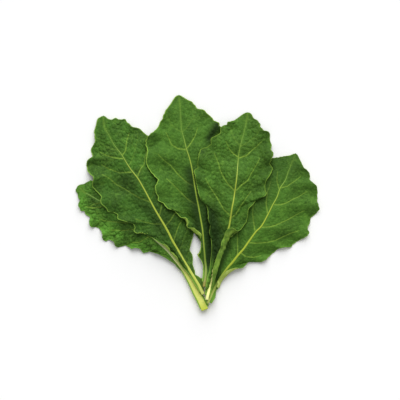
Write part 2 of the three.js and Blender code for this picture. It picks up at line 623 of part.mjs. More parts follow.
function stalkSolid(midrib, levelAt) {
  const beside = rowPlaces(midrib).slice(0, SLOT_ROWS + 1).map(midrib.bladeAt);
  beside[SLOT_ROWS] -= MIDRIB_GAP / midrib.length; // short of the slot's end
  const bare = Array.from({ length: BARE_SECTIONS }, (_, k) => (beside[0] * k) / BARE_SECTIONS);
  const shares = bare.concat(beside);
  const positions = [];
  const faces = [];
  let corners = 0;
  for (const [k, share] of shares.entries()) {
    const { width, depth } = midrib.sizeAt(share);
    const place = midrib.curve.getPointAt(share);
    const right = sideways(midrib.curve, share);
    const section = stalkSection(width, depth);
    corners = section.length;
    for (const [across, up] of section) {
      const point = place.clone().addScaledVector(right, across);
      positions.push(point.x, point.y, levelAt(share) + up);
    }
    if (k === 0) continue;
    for (let n = 0; n < corners; n += 1) {
      const [a, b] = [(k - 1) * corners + n, (k - 1) * corners + ((n + 1) % corners)];
      faces.push([a, b + corners, b], [a, a + corners, b + corners]);
    }
  }
  const last = (shares.length - 1) * corners;
  for (let n = 1; n < corners - 1; n += 1) {
    faces.push([0, n, n + 1], [last, last + n + 1, last + n]);
  }
  return solidGeometry(positions, faces);
}

// Laying a leaf on the map for the next ones

function layBlade(map, grid) {
  for (let i = 0; i < grid.length - 1; i += 1) {
    for (let j = 0; j < grid[i].length - 1; j += 1) {
      const [a, b, c, d] = [grid[i][j], grid[i][j + 1], grid[i + 1][j + 1], grid[i + 1][j]];
      const across = Math.ceil(Math.max(a.distanceTo(b), d.distanceTo(c))) + 1;
      const along = Math.ceil(Math.max(a.distanceTo(d), b.distanceTo(c))) + 1;
      for (let m = 0; m <= across; m += 1) {
        for (let n = 0; n <= along; n += 1) {
          const near = a.clone().lerp(b, m / across);
          const far = d.clone().lerp(c, m / across);
          const point = near.lerp(far, n / along);
          raiseMap(map, point.x, point.y, point.z + BLADE_THICKNESS / 2);
        }
      }
    }
  }
}

function layStalk(map, midrib, levelAt) {
  const steps = Math.ceil(midrib.length);
  for (let k = 0; k <= steps; k += 1) {
    const share = k / steps;
    const place = midrib.curve.getPointAt(share);
    const right = sideways(midrib.curve, share);
    const { width } = midrib.sizeAt(share);
    for (const across of [-0.5, -0.25, 0, 0.25, 0.5]) {
      const point = place.clone().addScaledVector(right, across * width);
      raiseMap(map, point.x, point.y, levelAt(share) + MIDRIB_PROUD + BLADE_THICKNESS / 2);
    }
  }
}

// The bunch

function namedMesh(name, geometry, look) {
  const mesh = new THREE.Mesh(geometry, new THREE.MeshStandardMaterial(look));
  mesh.name = name;
  return mesh;
}

function layLeaf(bunch, map, leaf) {
  const heldAt = drapeOver(map);
  const midrib = midribOf(leaf);
  leaf.leftMargin = marginOf(leaf.left, midrib);
  leaf.rightMargin = marginOf(leaf.right, midrib);
  const levelAt = midribHeights(leaf, midrib, heldAt);
  const grid = bladeGrid(leaf, midrib, levelAt, heldAt);
  bunch.add(namedMesh(`${leaf.name}_blade`, bladeSolid(grid), BLADE_LOOK));
  bunch.add(namedMesh(`${leaf.name}_stalk`, stalkSolid(midrib, levelAt), STALK_LOOK));
  layBlade(map, grid);
  layStalk(map, midrib, levelAt);
}

function makeBunch() {
  const bunch = new THREE.Group();
  bunch.name = "kale_bunch";
  const map = emptyMap();
  for (const leaf of LEAVES_AS_THEY_LIE) layLeaf(bunch, map, leaf);
  const box = new THREE.Box3().setFromObject(bunch);
  const middle = box.getCenter(new THREE.Vector3());
  for (const mesh of bunch.children) mesh.geometry.translate(-middle.x, -middle.y, -box.min.z);
  return bunch;
}

export default makeBunch();
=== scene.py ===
"""A bunch of five kale leaves lying in a fan, seen from straight above.

Each leaf is two pieces, a green blade and a pale stalk with its midrib, and each takes the place of
one solid. Lengths in the tables are millimetres, as in the part's source, and MM turns them into the
scene's metres.
"""

import math

import bpy
import numpy as np
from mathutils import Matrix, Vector


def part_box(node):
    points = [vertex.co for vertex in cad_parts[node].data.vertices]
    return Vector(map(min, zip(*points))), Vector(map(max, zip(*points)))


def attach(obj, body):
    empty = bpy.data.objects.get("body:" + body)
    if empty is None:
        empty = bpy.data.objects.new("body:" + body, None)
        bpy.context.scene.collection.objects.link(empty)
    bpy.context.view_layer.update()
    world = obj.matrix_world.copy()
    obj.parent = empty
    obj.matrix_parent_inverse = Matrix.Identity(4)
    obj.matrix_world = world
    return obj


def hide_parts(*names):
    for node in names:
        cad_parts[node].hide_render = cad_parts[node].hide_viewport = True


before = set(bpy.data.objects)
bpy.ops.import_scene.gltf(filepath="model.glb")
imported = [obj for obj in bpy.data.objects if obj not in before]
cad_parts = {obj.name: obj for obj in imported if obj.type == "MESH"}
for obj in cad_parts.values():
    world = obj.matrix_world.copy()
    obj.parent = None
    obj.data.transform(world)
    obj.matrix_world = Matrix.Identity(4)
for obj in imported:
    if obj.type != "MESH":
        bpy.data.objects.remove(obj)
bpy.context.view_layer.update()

MM = 0.001

# The solids' dimensions, as in the part's source
SOLID_THICKNESS = 0.9
MIDRIB_GAP = 0.3  # between a midrib and the blade on each side of it
MIDRIB_PROUD = 0.35  # how far a midrib stands above its blade
MIDRIB_TIP = (1.3, 1.1)  # width, depth
MIDRIB_MIDDLE = (2.2, 2.2)
MIDRIB_MIDDLE_AT = 0.4  # of the blade's length
FOOT_WIDTH_SHARE = 0.6  # of the way from the stalk's width to the middle of the midrib's
FOOT_DEPTH_SHARE = 0.5
MIDRIB_ENDS_AT = 0.92  # of the blade's length
NARROWEST_HALF = 1.2  # of a blade, from the midrib's gap to where its margin turns up
LOOKUPS = 400  # places along a curve among which the nearest one is looked for
WING_WITHIN = 0.5  # of a margin, in which its wing ends
POINTED_FROM = 0.93  # of the blade's length, where its turned margins start to shrink
SIZE_AT_TIP = 0.3  # of the turned margin and the narrowest half, as a share
FOOT_ENDS_AT = 0.06  # of the blade's length, where they have grown from the wing's size
SIZE_OF_WING = 0.35
TURN_RADIUS = 1.6  # of a margin that turns up or folds over
FOLD_CLEARANCE = 1.7  # between the middle of a blade and that of its margin folded over it
FOLDED_FROM = math.radians(140)  # a margin turned so far lies over its blade
FOLD_CHECKS = (0.15, 0.3, 0.5, 0.75, 1)  # along a folded flap
CHORD_OF_MARGIN = 0.03  # as a share, on each side of where a fold's direction is read
EDGE_REST = 0.4  # the middle of a blade's thickness above the surface, at its margin
LAYER_CLEARANCE = 1.4  # between the middle of a blade and what it lies on
DRAPE_RADIUS = 28  # of the bend where a leaf lies over another one's edge
FOOT_RADIUS = 0.8  # the same bend at a blade's foot, where leaves lie side by side
FOOT_UNTIL = 0.05  # of the blade's length
DRAPED_FROM = 0.32
DRAPE_REACH = 30  # how far from that edge the bend can start
DRAPE_BLEND = 1.2
SLOPE_OF_STALK = 0.42  # the steepest that a stalk climbs from the surface
SIDE_VEINS = 7  # on each side of a midrib
QUILTING = 0.9  # the blade's rise between two side veins
FULL_WAVES_FROM = 30  # half a blade this wide has its whole ruffle and quilting
RUFFLE_GROWTH = 2.2  # the power with which the ruffle grows from the midrib to the margin
TROUGH_LEVEL = 0.4  # of the ruffle, so that its troughs are flat
WAVES_WANDER = 0.16  # of a wave's length, by which waves come early or late
WANDERS = 2.3  # how often they do so along a margin
RIB_ROOM_WIDTH = 12  # a blade comes down to what it lies on this far from its midrib
SQUARE_UNTIL = 5  # half a blade narrower than this runs square to the midrib
SWEPT_FROM = 16  # and one wider than this runs to its place on the margin
SWEPT_TO_TIP = (0.5, 0.75)  # from here to there along the blade all rows come to run so
MARGIN_SWEEP = 0.86  # under 1, side veins and rows run forward to the margin
LEVEL_STEPS = 160
LEVEL_SMOOTHING = 4  # steps on each side
MAP_CELL = 2  # of the map of what the leaves laid so far reach up to
MAP_HALF_SIZE = 190

# The finer blades
BLADE_THICKNESS = 0.6
LOWEST_MIDDLE = 0.32  # of a blade above the surface, so that its underside stays clear of it
ROWS = 230
COLUMNS = 62  # from the midrib to where the margin turns up
BEND_STEPS = 5
FLAP_STEPS = 4
BLEND_GROWS = 0.15  # of half a blade, over which its bend over other leaves softens
TOOTH = 0.4  # how far small teeth reach out of the margin
TEETH = 44  # along a margin
TEETH_MEAN = 0.6  # of a tooth's size, about which they come and go
TEETH_COME_AND_GO = 5.3  # times along a margin
TEETH_CROWD = 3  # radians of a tooth's turn, by which they come early or late
CROWDING = 17  # radians along a margin
TEETH_GROW = (8, 20)  # with the width of half a blade
SUNK_IN_RIB = 0.2  # the blade's middle runs on inside the midrib
FLAT_OUTSIDE = 4  # how far out of the margin on top a leaf's relief starts to flatten
FLAT_INSIDE = 2  # and how far in it is flat
DEEPEST = -0.6  # of the relief, so that no leaf below shows through

# Veins, and the relief between them
VEIN_DEPTH = 0.34
VEIN_WIDTH = 0.85
VEIN_THINS = 0.35  # along its way, as a share
VEIN_FADES = 0.3
VEINS_BY_RULE = 0.4  # how strong they are beside those read from the photo
FIRST_VEIN_AT = 0.06  # of the blade's length
VEIN_SPACING = 0.105
VEIN_SWEEP = 0.09  # how far it runs forward, of the blade's length
VEIN_BEND = 1.3  # the power with which it does so
VEIN_REACH = 0.92  # of half the blade's width
VEIN_POINTS = 8
VEIN_ROOM = 8.5  # a vein by rule that would be nearer to one from the photo is left out
MIDRIB_FADES_AT = 0.985  # of its length
MIDRIB_END_POINTS = 6
BRANCH_SPACING = 6
BRANCH_LENGTH = (8, 14)
BRANCHES_SHORTEN = 0.45  # towards the end of their vein, as a share
BRANCH_MIDDLE = (0.5, 0.35)  # away from the vein and along it, of the branch's length
BRANCH_END = (0.8, 0.85)
BRANCH_SWAY = 0.3  # how much further along the vein its end may be
BRANCH_WIDTH = 0.45
BRANCH_DEPTH = 0.14
PUCKERS = ((5.5, 1, 11), (2.475, 0.4, 23))  # the cells' size, their share of the height, the seed
PUCKERS_LEVEL_FROM = 0.5  # inside its cell, from the border at 0, a pucker is level
PATTERN_CELLS = 256  # after which the pattern of cells repeats
SWELL = 0.5  # of the blade between its veins
SWELLS_WITHIN = 6  # of a vein
CALM_RIM = 6  # the relief grows over this width from the margin
RELIEF_GROWS = (5, 18)  # with the width of half a blade
RIB_CALM = 2.6  # the blade is smooth this near to the midrib
RIB_GLOW = 1.7  # and paler this near
WING_PALES = (0.04, -0.02)  # of the blade's length, the wing being below 0

# The finer stalks
STALK_SECTIONS = 170
STALK_SIDES = 24
STALK_SQUARENESS = 0.85  # a power, under 1 for a section squarer than an ellipse
STALK_WIDER = 0.5  # so that a stalk meets its blade
UNDERSIDE_NARROWS = 0.3  # as a share, at its lowest
UNDERSIDE_FLATTENS = 1.25  # above 1 for a flat underside
THINNED_BY = 0.72  # a midrib, towards its end
CUT_LIP = 0.82  # of the cut's width, where its hollow starts
CUT_PITH = 0.4
PITH_DEPTH = 0.05  # of the way to the section that the hollow points to
CUT_DEPTH = 0.08
HOLLOW_POINTS_TO = 3  # the section
ALONG_AT_CUT = -0.01  # just before the stalk's start, so that all of the cut has the cut's colour
GREEN_FLANK_FROM = 0.45  # of a midrib's half width, where its flanks turn green
NO_GREEN_FLANK = 1.2  # more than its half width
FLANK_BLEND = 0.2
CROWN_POINTS = 600  # along a midrib, for the leaves above
CROWN_LINES = (-0.5, -0.25, 0, 0.25, 0.5)  # across it, of its width

# The view and the light, in metres
CAMERA_HEIGHT = 1.6
LEAVES_HEIGHT = 0.003
FIELD = 0.48  # across the picture at the leaves, for 400 pixels at 1.2 mm
PICTURE_CENTRE = (3.0, 3.6)  # in the tables' millimetres
SENSOR_WIDTH = 36  # millimetres
FLOOR_SIZE = 6
FLOOR_DROP = 0.0002  # below the leaves, so that no face lies in the floor's
ROOM_LIGHT = 0.45
WINDOW_LIGHT = 3.6
WINDOW_SPREAD = math.radians(60)
WINDOW_FROM = (0.12, 1.2, 0.88)  # beyond the leaf tips

# The leaves in the order in which they lie, the lowest first. Each midrib runs from the cut end to
# the tip, and each margin from the foot of the wing to the tip, left and right as seen from there.
# A wing is the narrow strip of blade that runs down along the stalk.
# A turn says, at a fraction of the blade's length, how far the margin's flap reaches past its bend
# and by how many degrees it is turned up. Past a right angle it folds back over the blade.
# A painted shade is a line along a hollow where shade falls, its width, and how much it darkens the green.
# The veins are those that the photo shows.
PLAIN_TURN = [(0, 0.4, 25), (0.5, 0.6, 38), (1, 0.4, 25)]

LEAF_1 = {
    "name": "leaf_1",  # at the lower left, mostly under the second leaf
    "bare_stalk": 3,
    "wing": 51,
    "stalk": (7.8, 5.6),  # width, depth
    "arch": 6,
    "ruffle": 4,
    "waves": 9,
    "wave_phase": 0.4,
    "blister": 1.3,
    "mottle": 1.5,
    "dark_green": "#476e27",
    "light_green": "#5e9834",
    "rim": "#86aa44",
    "rim_shows": 0.3,
    "wing_paler": 0.75,
    "under": ("#6f9036", "#8aa846"),
    "stalk_pale": "#dde474",
    "pale_until": 0.2,  # of the stalk and midrib together, as are the other places along it
    "flanks_green_at": 0.75,
    "rib_colour": "#dde8a8",
    "rib_greens": (0.5, 0.6),
    "veins_show": 0.75,
    "sinks_from": 0.5,  # where the midrib starts to sink into the blade
    "cut_end": "#bccb36",
    "midrib": [
        (9, -128), (3.6, -116), (-0.6, -108.6), (-4.2, -101.4), (-7.8, -94.2), (-12, -87), (-16.6, -79.8),
        (-22.3, -72.6), (-28.2, -65.4), (-34.3, -58.2), (-41.5, -51.5), (-49, -45), (-60, -35), (-83, -17),
        (-106, -2), (-118, 3), (-134, 12), (-146.4, 16),
    ],
    "left": [
        (3, -125), (-2, -116), (-5.4, -108.6), (-8.5, -101.4), (-12.2, -94.2), (-15.8, -87), (-20.4, -79),
        (-26.4, -71.8), (-31.8, -67.8), (-37.9, -64.3), (-43.6, -62), (-49.8, -60.2), (-60, -58),
        (-65, -60), (-69, -55), (-77, -54), (-79, -55), (-86, -51), (-91, -52), (-96, -53), (-99, -51),
        (-100, -47), (-107, -44), (-110, -46), (-114, -43), (-114, -38), (-116, -33), (-121, -29),
        (-127, -29), (-129, -27), (-130, -22), (-129, -17), (-134, -14), (-136, -10), (-140, -9),
        (-142, -5), (-143, -1), (-141, 3), (-143, 6), (-144, 11), (-146, 14),
    ],
    "right": [
        (12, -119), (10, -115.5), (5.5, -108.6), (1.5, -101.5), (-2.5, -94), (-7, -87), (-12, -80),
        (-16, -74), (-22, -65), (-31, -54), (-40, -45), (-50, -33), (-60, -18), (-72, -2), (-86, 12),
        (-100, 22), (-113, 28), (-126, 27), (-131, 26), (-136, 23), (-141, 22), (-144, 20), (-145, 18),
    ],
    "left_turn": PLAIN_TURN,
    "right_turn": PLAIN_TURN,
    # painted shade: lines where shade falls on this leaf, painted as darker green
    "painted_shades": [
        ([(-122, 4), (-108, -12), (-96, -24), (-80, -33), (-68, -38)], 7, 0.5),
        ([(-142, 14), (-126, 8)], 12, 0.3),
    ],
    "veins": [
        [(-84, -24), (-95, -23), (-107, -22), (-118, -19)],
        [(-74, -31), (-90, -33), (-106, -32)],
        [(-106, -2), (-118, 3), (-129, 9), (-135, 12), (-141, 18)],
        [(-115, 0), (-124, -1), (-130, -5)],
        [(-112, -4), (-126, -6), (-136, -4)],
        [(-58, -40), (-70, -47), (-84, -48)],
    ],
}

LEAF_5 = {
    "name": "leaf_5",  # at the right, with its upper side under the fourth leaf
    "bare_stalk": 2,
    "wing": 25,
    "stalk": (2.4, 3),
    "arch": 8,
    "ruffle": 3.8,
    "waves": 8,
    "wave_phase": 2.1,
    "blister": 0.42,
    "mottle": 1.0,
    "dark_green": "#3c5f1f",
    "light_green": "#467024",
    "rim": "#86aa44",
    "rim_shows": 0.4,
    "wing_paler": 0.3,
    "under": ("#95a84a", "#adbf64"),
    "stalk_pale": "#9fb04c",
    "pale_until": 0.1,
    "flanks_green_at": 0.7,
    "rib_colour": "#a4b633",
    "rib_greens": (0.55, 0.9),
    "veins_show": 0.7,
    "sinks_from": 0.8,
    "cut_end": "#b2bd60",
    "midrib": [
        (12, -120), (15.6, -112.5), (18, -107.5), (21.3, -101.4), (23.3, -97.8), (26, -92.5),
        (30.5, -85.5), (37.5, -76), (41.5, -71.5), (48, -63), (55, -55), (62, -45), (70, -34), (76, -28),
        (85, -12), (90, -2), (95, 7), (99, 18), (105, 27), (109, 38), (118, 59.6),
    ],
    "left": [
        (10.5, -117.5), (13, -111.5), (17.5, -102.5), (19.5, -96.5), (21.5, -90), (24, -80), (26.5, -68),
        (29, -55), (31, -42), (33, -28), (36, -12), (42, 4), (50, 20), (60, 36), (70, 47), (80, 53),
        (90, 54), (98, 55), (103, 56), (110, 57), (116, 59),
    ],
    "right": [
        (15.5, -122), (17.8, -119), (20, -115.5), (21.2, -112), (21.6, -108.5), (22, -105), (26, -101.5),
        (27.6, -98), (28.8, -94.2), (31.2, -90.6), (33.6, -87), (37.2, -83.4), (41, -80.5), (46, -78.5),
        (51, -78), (55, -77), (58, -74), (61, -70.8), (67, -70), (76, -70.8), (83, -67), (87, -63), (92, -59),
        (97, -55), (104, -53), (112.4, -52.6), (114.6, -49.8), (123.4, -43.9), (129.6, -40.8), (133.8, -36.4),
        (132, -30), (135, -24), (136, -18), (142, -13), (146, -7), (144, 1), (144, 14), (143, 20),
        (139, 24), (135, 28), (135, 34), (132, 39), (128, 42), (124, 50), (121, 56), (120, 58),
    ],
    "left_turn": PLAIN_TURN,
    "right_turn": [
        (-0.035, 0.5, 60), (-0.022, 3.5, 150), (0.005, 4.6, 155), (0.045, 4.2, 155), (0.06, 4.6, 155),
        (0.079, 2.4, 150), (0.096, 1, 110), (0.11, 0.6, 50), (1, 0.4, 25),
    ],
    # painted shade: lines where shade falls on this leaf, painted as darker green
    "painted_shades": [
        ([(89, 42), (88, 22), (77, 0), (63, -23), (48, -48)], 8, 0.35),
        ([(38, -52), (30, -70), (22, -92)], 4, 0.75),
        ([(98, 44), (118, 50)], 26, 0.3),
    ],
    "veins": [
        [(90, -2), (99, -2), (106, 0), (113, 4), (122, 8), (131, 14)],
        [(75, -29), (89, -28), (99, -24), (110, -19), (118, -14), (128, -9)],
        [(61, -47), (70, -48), (83, -47), (93, -45), (101, -41), (112, -36), (122, -33)],
        [(51, -59), (58, -64), (67, -65), (76, -63)],
        [(69, -35), (67, -22), (66, -12), (67, 0)],
        [(48, -62), (48, -48), (48, -35), (50, -24)],
        [(99, 18), (107, 20), (116, 26), (124, 32)],
        [(84, -14), (82, 0), (84, 14), (88, 26)],
        [(98, 15), (95, 27), (96, 38)],
    ],
}

LEAF_2 = {
    "name": "leaf_2",  # at the upper left
    "bare_stalk": 4,
    "wing": 17,
    "stalk": (3.6, 4),
    "arch": 8,
    "ruffle": 4,
    "waves": 9,
    "wave_phase": 1.2,
    "blister": 0.9,
    "mottle": 1.15,
    "dark_green": "#37571e",
    "light_green": "#3f6a22",
    "rim": "#8fb548",
    "rim_shows": 0.6,
    "wing_paler": 0.35,
    "under": ("#7c9a38", "#94b046"),
    "stalk_pale": "#b8c454",
    "pale_until": 0.1,
    "flanks_green_at": 0.7,
    "rib_colour": "#a4b43c",
    "rib_greens": (0.6, 0.9),
    "veins_show": 0.75,
    "sinks_from": 0.72,
    "cut_end": "#cdd572",
    "midrib": [
        (7, -109), (1.2, -97.8), (-5.4, -87), (-12, -76.2), (-18.6, -65.4), (-24.6, -54.6), (-29.5, -46),
        (-37, -31), (-50, -9), (-64, 17), (-71, 29), (-81, 42), (-91, 58), (-100, 70), (-106, 81),
        (-112, 92), (-113, 104.8),
    ],
    "left": [
        (2.4, -105), (-3, -97.8), (-9.5, -87), (-13.8, -79.8), (-17, -76), (-20.4, -72.6), (-25.8, -65.4),
        (-30, -61.8), (-34, -57), (-40.2, -50.5), (-47, -46), (-55, -41), (-63, -37), (-67, -35),
        (-73, -36), (-76, -33), (-75, -29), (-77, -25), (-82, -23), (-89, -21), (-95, -19), (-96, -14),
        (-100, -11), (-107, -10), (-110, -5), (-114, -2), (-116, 3), (-115, 7), (-122, 15), (-126, 20),
        (-125, 27), (-124, 30), (-129, 35), (-131, 37), (-133, 43), (-133, 49), (-130, 53), (-126, 56),
        (-128, 62), (-127, 67), (-124, 71), (-123, 77), (-124, 86), (-122, 93), (-120, 101), (-117, 103),
        (-115, 104),
    ],
    "right": [
        (8.6, -105), (7.4, -99), (6, -93), (5, -89.4), (2.6, -88.4), (-1.6, -84.6), (-6, -79.8),
        (-6, -77), (-7.2, -73.6), (-8.5, -68.4), (-7, -65), (-6.8, -61), (-9.4, -56.4), (-8, -49.5),
        (-6.2, -42.7), (-4.6, -34.6), (-4, -23), (-9, -6), (-16, 13), (-26, 32), (-38, 52), (-50, 68),
        (-60, 81), (-63, 83), (-67, 87), (-71, 90), (-77, 91), (-82, 95), (-85, 98), (-88, 101),
        (-93, 100), (-98, 102), (-103, 100), (-107, 101), (-111, 104),
    ],
    "left_turn": [
        (0, 0.4, 30), (0.07, 0.8, 70), (0.09, 2.4, 150), (0.11, 2.6, 150), (0.118, 1, 110),
        (0.13, 2.6, 150), (0.15, 2.6, 150), (0.17, 1, 80), (0.2, 0.6, 40), (1, 0.4, 25),
    ],
    "right_turn": PLAIN_TURN,
    # painted shade: lines where shade falls on this leaf, painted as darker green
    "painted_shades": [
        ([(-92, 36), (-76, 14), (-61, -3), (-46, -24)], 9, 0.5),
        ([(-112, 2), (-84, -10), (-52, -34), (-28, -62)], 24, 0.28),
        ([(-57, 34), (-50, 16), (-38, -4)], 11, 0.3),
        ([(-3, -78), (3, -92), (8, -104)], 5, 0.5),
        ([(-36, -28), (-22, -52)], 10, 0.3),
    ],
    "veins": [
        [(-88, 53), (-99, 54), (-109, 57), (-117, 61)],
        [(-78, 37), (-93, 36), (-106, 41), (-115, 46)],
        [(-56, 1), (-69, 6), (-81, 13), (-87, 17), (-97, 22), (-106, 30), (-114, 34)],
        [(-41, -25), (-52, -25), (-62, -23), (-74, -19)],
        [(-90, 57), (-86, 63), (-85, 74), (-82, 84)],
        [(-72, 31), (-68, 41), (-64, 46), (-63, 54), (-60, 66)],
        [(-46, -17), (-43, -4), (-41, 8), (-40, 22)],
        [(-39, -28), (-32, -20), (-27, -12), (-24, 0)],
        [(-29, -46), (-25, -34), (-22, -26), (-16, -16)],
    ],
}

LEAF_3 = {
    "name": "leaf_3",  # in the middle, the longest
    "bare_stalk": 6,
    "wing": 7,
    "stalk": (3.4, 3.8),
    "arch": 8,
    "ruffle": 3.8,
    "waves": 8,
    "wave_phase": 0.2,
    "blister": 0.5,
    "mottle": 0.95,
    "dark_green": "#3a5e1e",
    "light_green": "#456e24",
    "rim": "#93b94a",
    "rim_shows": 0.85,
    "wing_paler": 0.1,
    "under": ("#7c9a38", "#93ad48"),
    "stalk_pale": "#74882e",
    "pale_until": 0.1,
    "flanks_green_at": 0.2,
    "rib_colour": "#95a835",
    "rib_greens": (0.6, 0.85),
    "veins_show": 0.72,
    "sinks_from": 0.72,
    "cut_end": "#93823f",
    "midrib": [
        (8, -100), (9, -92), (10, -80), (9, -68), (8, -56), (7, -44), (6, -32), (4, -20), (1, -3),
        (-1, 7), (-3, 19), (-7, 43), (-10, 55), (-13, 64), (-16, 76), (-19, 88), (-20, 101), (-21, 116),
        (-22.4, 129.6),
    ],
    "left": [
        (5.4, -93), (6.2, -87), (6.7, -80), (6.9, -74), (6.7, -70), (5.4, -66), (2.5, -62.4), (-0.4, -60),
        (1.4, -57), (2.9, -53.8), (4, -49.5), (4.2, -46), (3.8, -42.5), (2.6, -39.3), (-0.5, -36.7),
        (-4, -35), (-8, -31), (-13, -28), (-13, -24), (-15, -19), (-20, -17), (-24, -13), (-28, -9),
        (-36, -6), (-41, 0), (-47, 3), (-47, 7), (-50, 14), (-50, 21), (-47, 27), (-52, 33), (-57, 39),
        (-61, 47), (-61, 55), (-60, 63), (-62, 70), (-61, 77), (-57, 82), (-52, 86), (-47, 92), (-45, 97),
        (-42, 101), (-41, 105), (-37, 113), (-33, 118), (-29, 124.4), (-26.6, 127.6), (-24.2, 129.2),
    ],
    "right": [
        (12, -93), (13.5, -87), (16.5, -75), (18.5, -60), (20, -45), (22, -32), (27, -20), (34, -6),
        (40, 10), (44, 28), (46, 46), (45, 62), (40, 76), (34, 85), (27, 92.4), (25.4, 96.6), (20.4, 98.8),
        (16.4, 103.6), (12, 107), (7, 112), (1, 113), (-3, 117), (-6, 121), (-12, 124), (-17.4, 127.4),
        (-20.4, 129.2),
    ],
    "left_turn": [
        (0, 0.4, 30), (0.06, 0.5, 60), (0.075, 1.2, 140), (0.095, 1, 140), (0.11, 0.4, 40),
        (0.135, 0.5, 60), (0.15, 3.6, 150), (0.17, 4.6, 158), (0.19, 4.2, 158), (0.2, 1.6, 140),
        (0.207, 0.8, 90), (0.222, 2.2, 145), (0.255, 2.4, 150), (0.272, 0.8, 70), (0.33, 0.6, 50),
        (1, 0.4, 30),
    ],
    "right_turn": PLAIN_TURN,
    # painted shade: lines where shade falls on this leaf, painted as darker green
    "painted_shades": [
        ([(-9, 38), (-5, 12), (-1, -12), (1, -34)], 9, 0.85),
        ([(13, -8), (14, -26), (14, -48), (13, -72)], 9, 1.0),
        ([(27, 98), (20, 87), (14, 78)], 5, 0.95),
    ],
    "veins": [
        [(-14, 64), (-23, 65), (-31, 70), (-35, 79), (-38, 85)],
        [(-4, 20), (-13, 25), (-23, 34), (-32, 45), (-40, 51), (-47, 58)],
        [(1, -4), (-12, 5), (-20, 13), (-29, 22), (-37, 29)],
        [(-12, 66), (-7, 73), (-3, 80), (0, 90)],
        [(-4, 26), (8, 36), (18, 49)],
    ],
}

LEAF_4 = {
    "name": "leaf_4",  # at the upper right, on top of the others
    "bare_stalk": 5,
    "wing": 19,
    "stalk": (3.2, 4),
    "arch": 7,
    "ruffle": 4.2,
    "waves": 9,
    "wave_phase": 1.7,
    "blister": 0.8,
    "mottle": 1.15,
    "dark_green": "#3c5e1e",
    "light_green": "#446c24",
    "rim": "#7da03c",
    "rim_shows": 0.7,
    "wing_paler": 0.3,
    "under": ("#4f7026", "#6f9130"),
    "stalk_pale": "#eeee92",
    "pale_until": 0.14,
    "flanks_green_at": 0.7,
    "rib_colour": "#a2b33c",
    "rib_greens": (0.6, 0.85),
    "veins_show": 0.78,
    "sinks_from": 0.68,
    "cut_end": "#d2d98c",
    "midrib": [
        (11, -115.5), (12.6, -108.6), (14.3, -101.5), (16.4, -93), (18, -87), (19, -81), (20.5, -75),
        (23.5, -67), (27.5, -57), (31.5, -47.5), (35, -36), (38, -27), (41, -7), (43, 3), (45, 17),
        (47, 32), (48, 44), (49, 55), (50, 62), (52, 71), (55, 82), (58, 95), (60.2, 108.9),
    ],
    "left": [
        (9, -109), (9.3, -103), (10, -96), (11.8, -88), (14.2, -78), (16, -70), (17.2, -60), (17, -52),
        (16, -42), (14, -35), (15, -27), (13, -20), (12, -8), (10, -2), (4, 4), (-1, 22), (-3, 33),
        (-4, 39), (0, 42), (0, 48), (4, 64), (12, 67), (16, 71), (16, 77), (21, 80), (27, 84), (28, 91),
        (34.6, 94), (36.6, 97), (43.6, 99), (49.5, 103), (54.5, 106.6), (58, 108.4),
    ],
    "right": [
        (15.6, -108), (17.5, -101), (20, -95), (22, -87), (25.2, -74), (29.8, -62), (33.6, -53),
        (37, -45), (39.5, -38), (44, -34), (51, -32), (55, -27), (58, -23), (60, -15), (61, -7), (67, -1),
        (70, 4), (77, 7), (82, 10), (81, 17), (81, 22), (83, 28), (87, 34), (90, 42), (87, 46), (89, 54),
        (91, 59), (88, 64), (89, 70), (87, 75), (87, 81), (86, 85), (80, 87), (76, 91), (75, 95),
        (72, 99), (67.4, 101.8), (65, 106.4), (62.6, 108.4),
    ],
    "left_turn": PLAIN_TURN,
    "right_turn": [
        (-0.08, 0.5, 60), (-0.01, 1.6, 140), (0.014, 3.4, 155), (0.054, 5.4, 160), (0.08, 5.4, 165),
        (0.1, 6, 165), (0.125, 5.4, 165), (0.15, 7.4, 168), (0.175, 6.6, 168), (0.2, 7.8, 168),
        (0.215, 7, 165), (0.225, 3, 130), (0.24, 0.6, 50), (1, 0.4, 30),
    ],
    # painted shade: lines where shade falls on this leaf, painted as darker green
    "painted_shades": [
        ([(16, -14), (22, -36), (22, -62)], 13, 0.95),
        ([(4, 62), (2, 40), (6, 20)], 6, 0.3),
        ([(84, 62), (80, 22), (58, -14), (44, -30)], 14, 0.2),
    ],
    "veins": [
        [(49, 55), (43, 59), (38, 65), (34, 74)],
        [(45, 14), (37, 22), (31, 31), (27, 40), (24, 50), (20, 60)],
        [(40, -16), (31, -7), (23, 7), (15, 19), (9, 30)],
        [(50, 54), (59, 57), (64, 62), (71, 68), (77, 74)],
        [(46, 15), (53, 22), (60, 27), (64, 35), (70, 45), (75, 54)],
        [(40, -18), (46, -13), (51, -4), (58, 6), (64, 14)],
    ],
}

LEAVES_AS_THEY_LIE = [LEAF_1, LEAF_5, LEAF_2, LEAF_3, LEAF_4]


# Small helpers


def mix(a, b, share):
    return a + (b - a) * share


def smooth_step(start, end, value):
    share = np.clip((value - start) / (end - start), 0, 1)
    return share * share * (3 - 2 * share)


def soft_max(a, b, blend):
    return (a + b + np.sqrt((a - b) ** 2 + blend**2)) / 2


def fading(distance, width):
    """1 on a line, down to nearly 0 at twice this width from it."""
    return np.exp(-((distance / width) ** 2))


def at_station(stations, place, column):
    """A value at a place, from rows that start with their own places."""
    places = [row[0] for row in stations]
    values = [row[column] for row in stations]
    return np.interp(place, places, values)


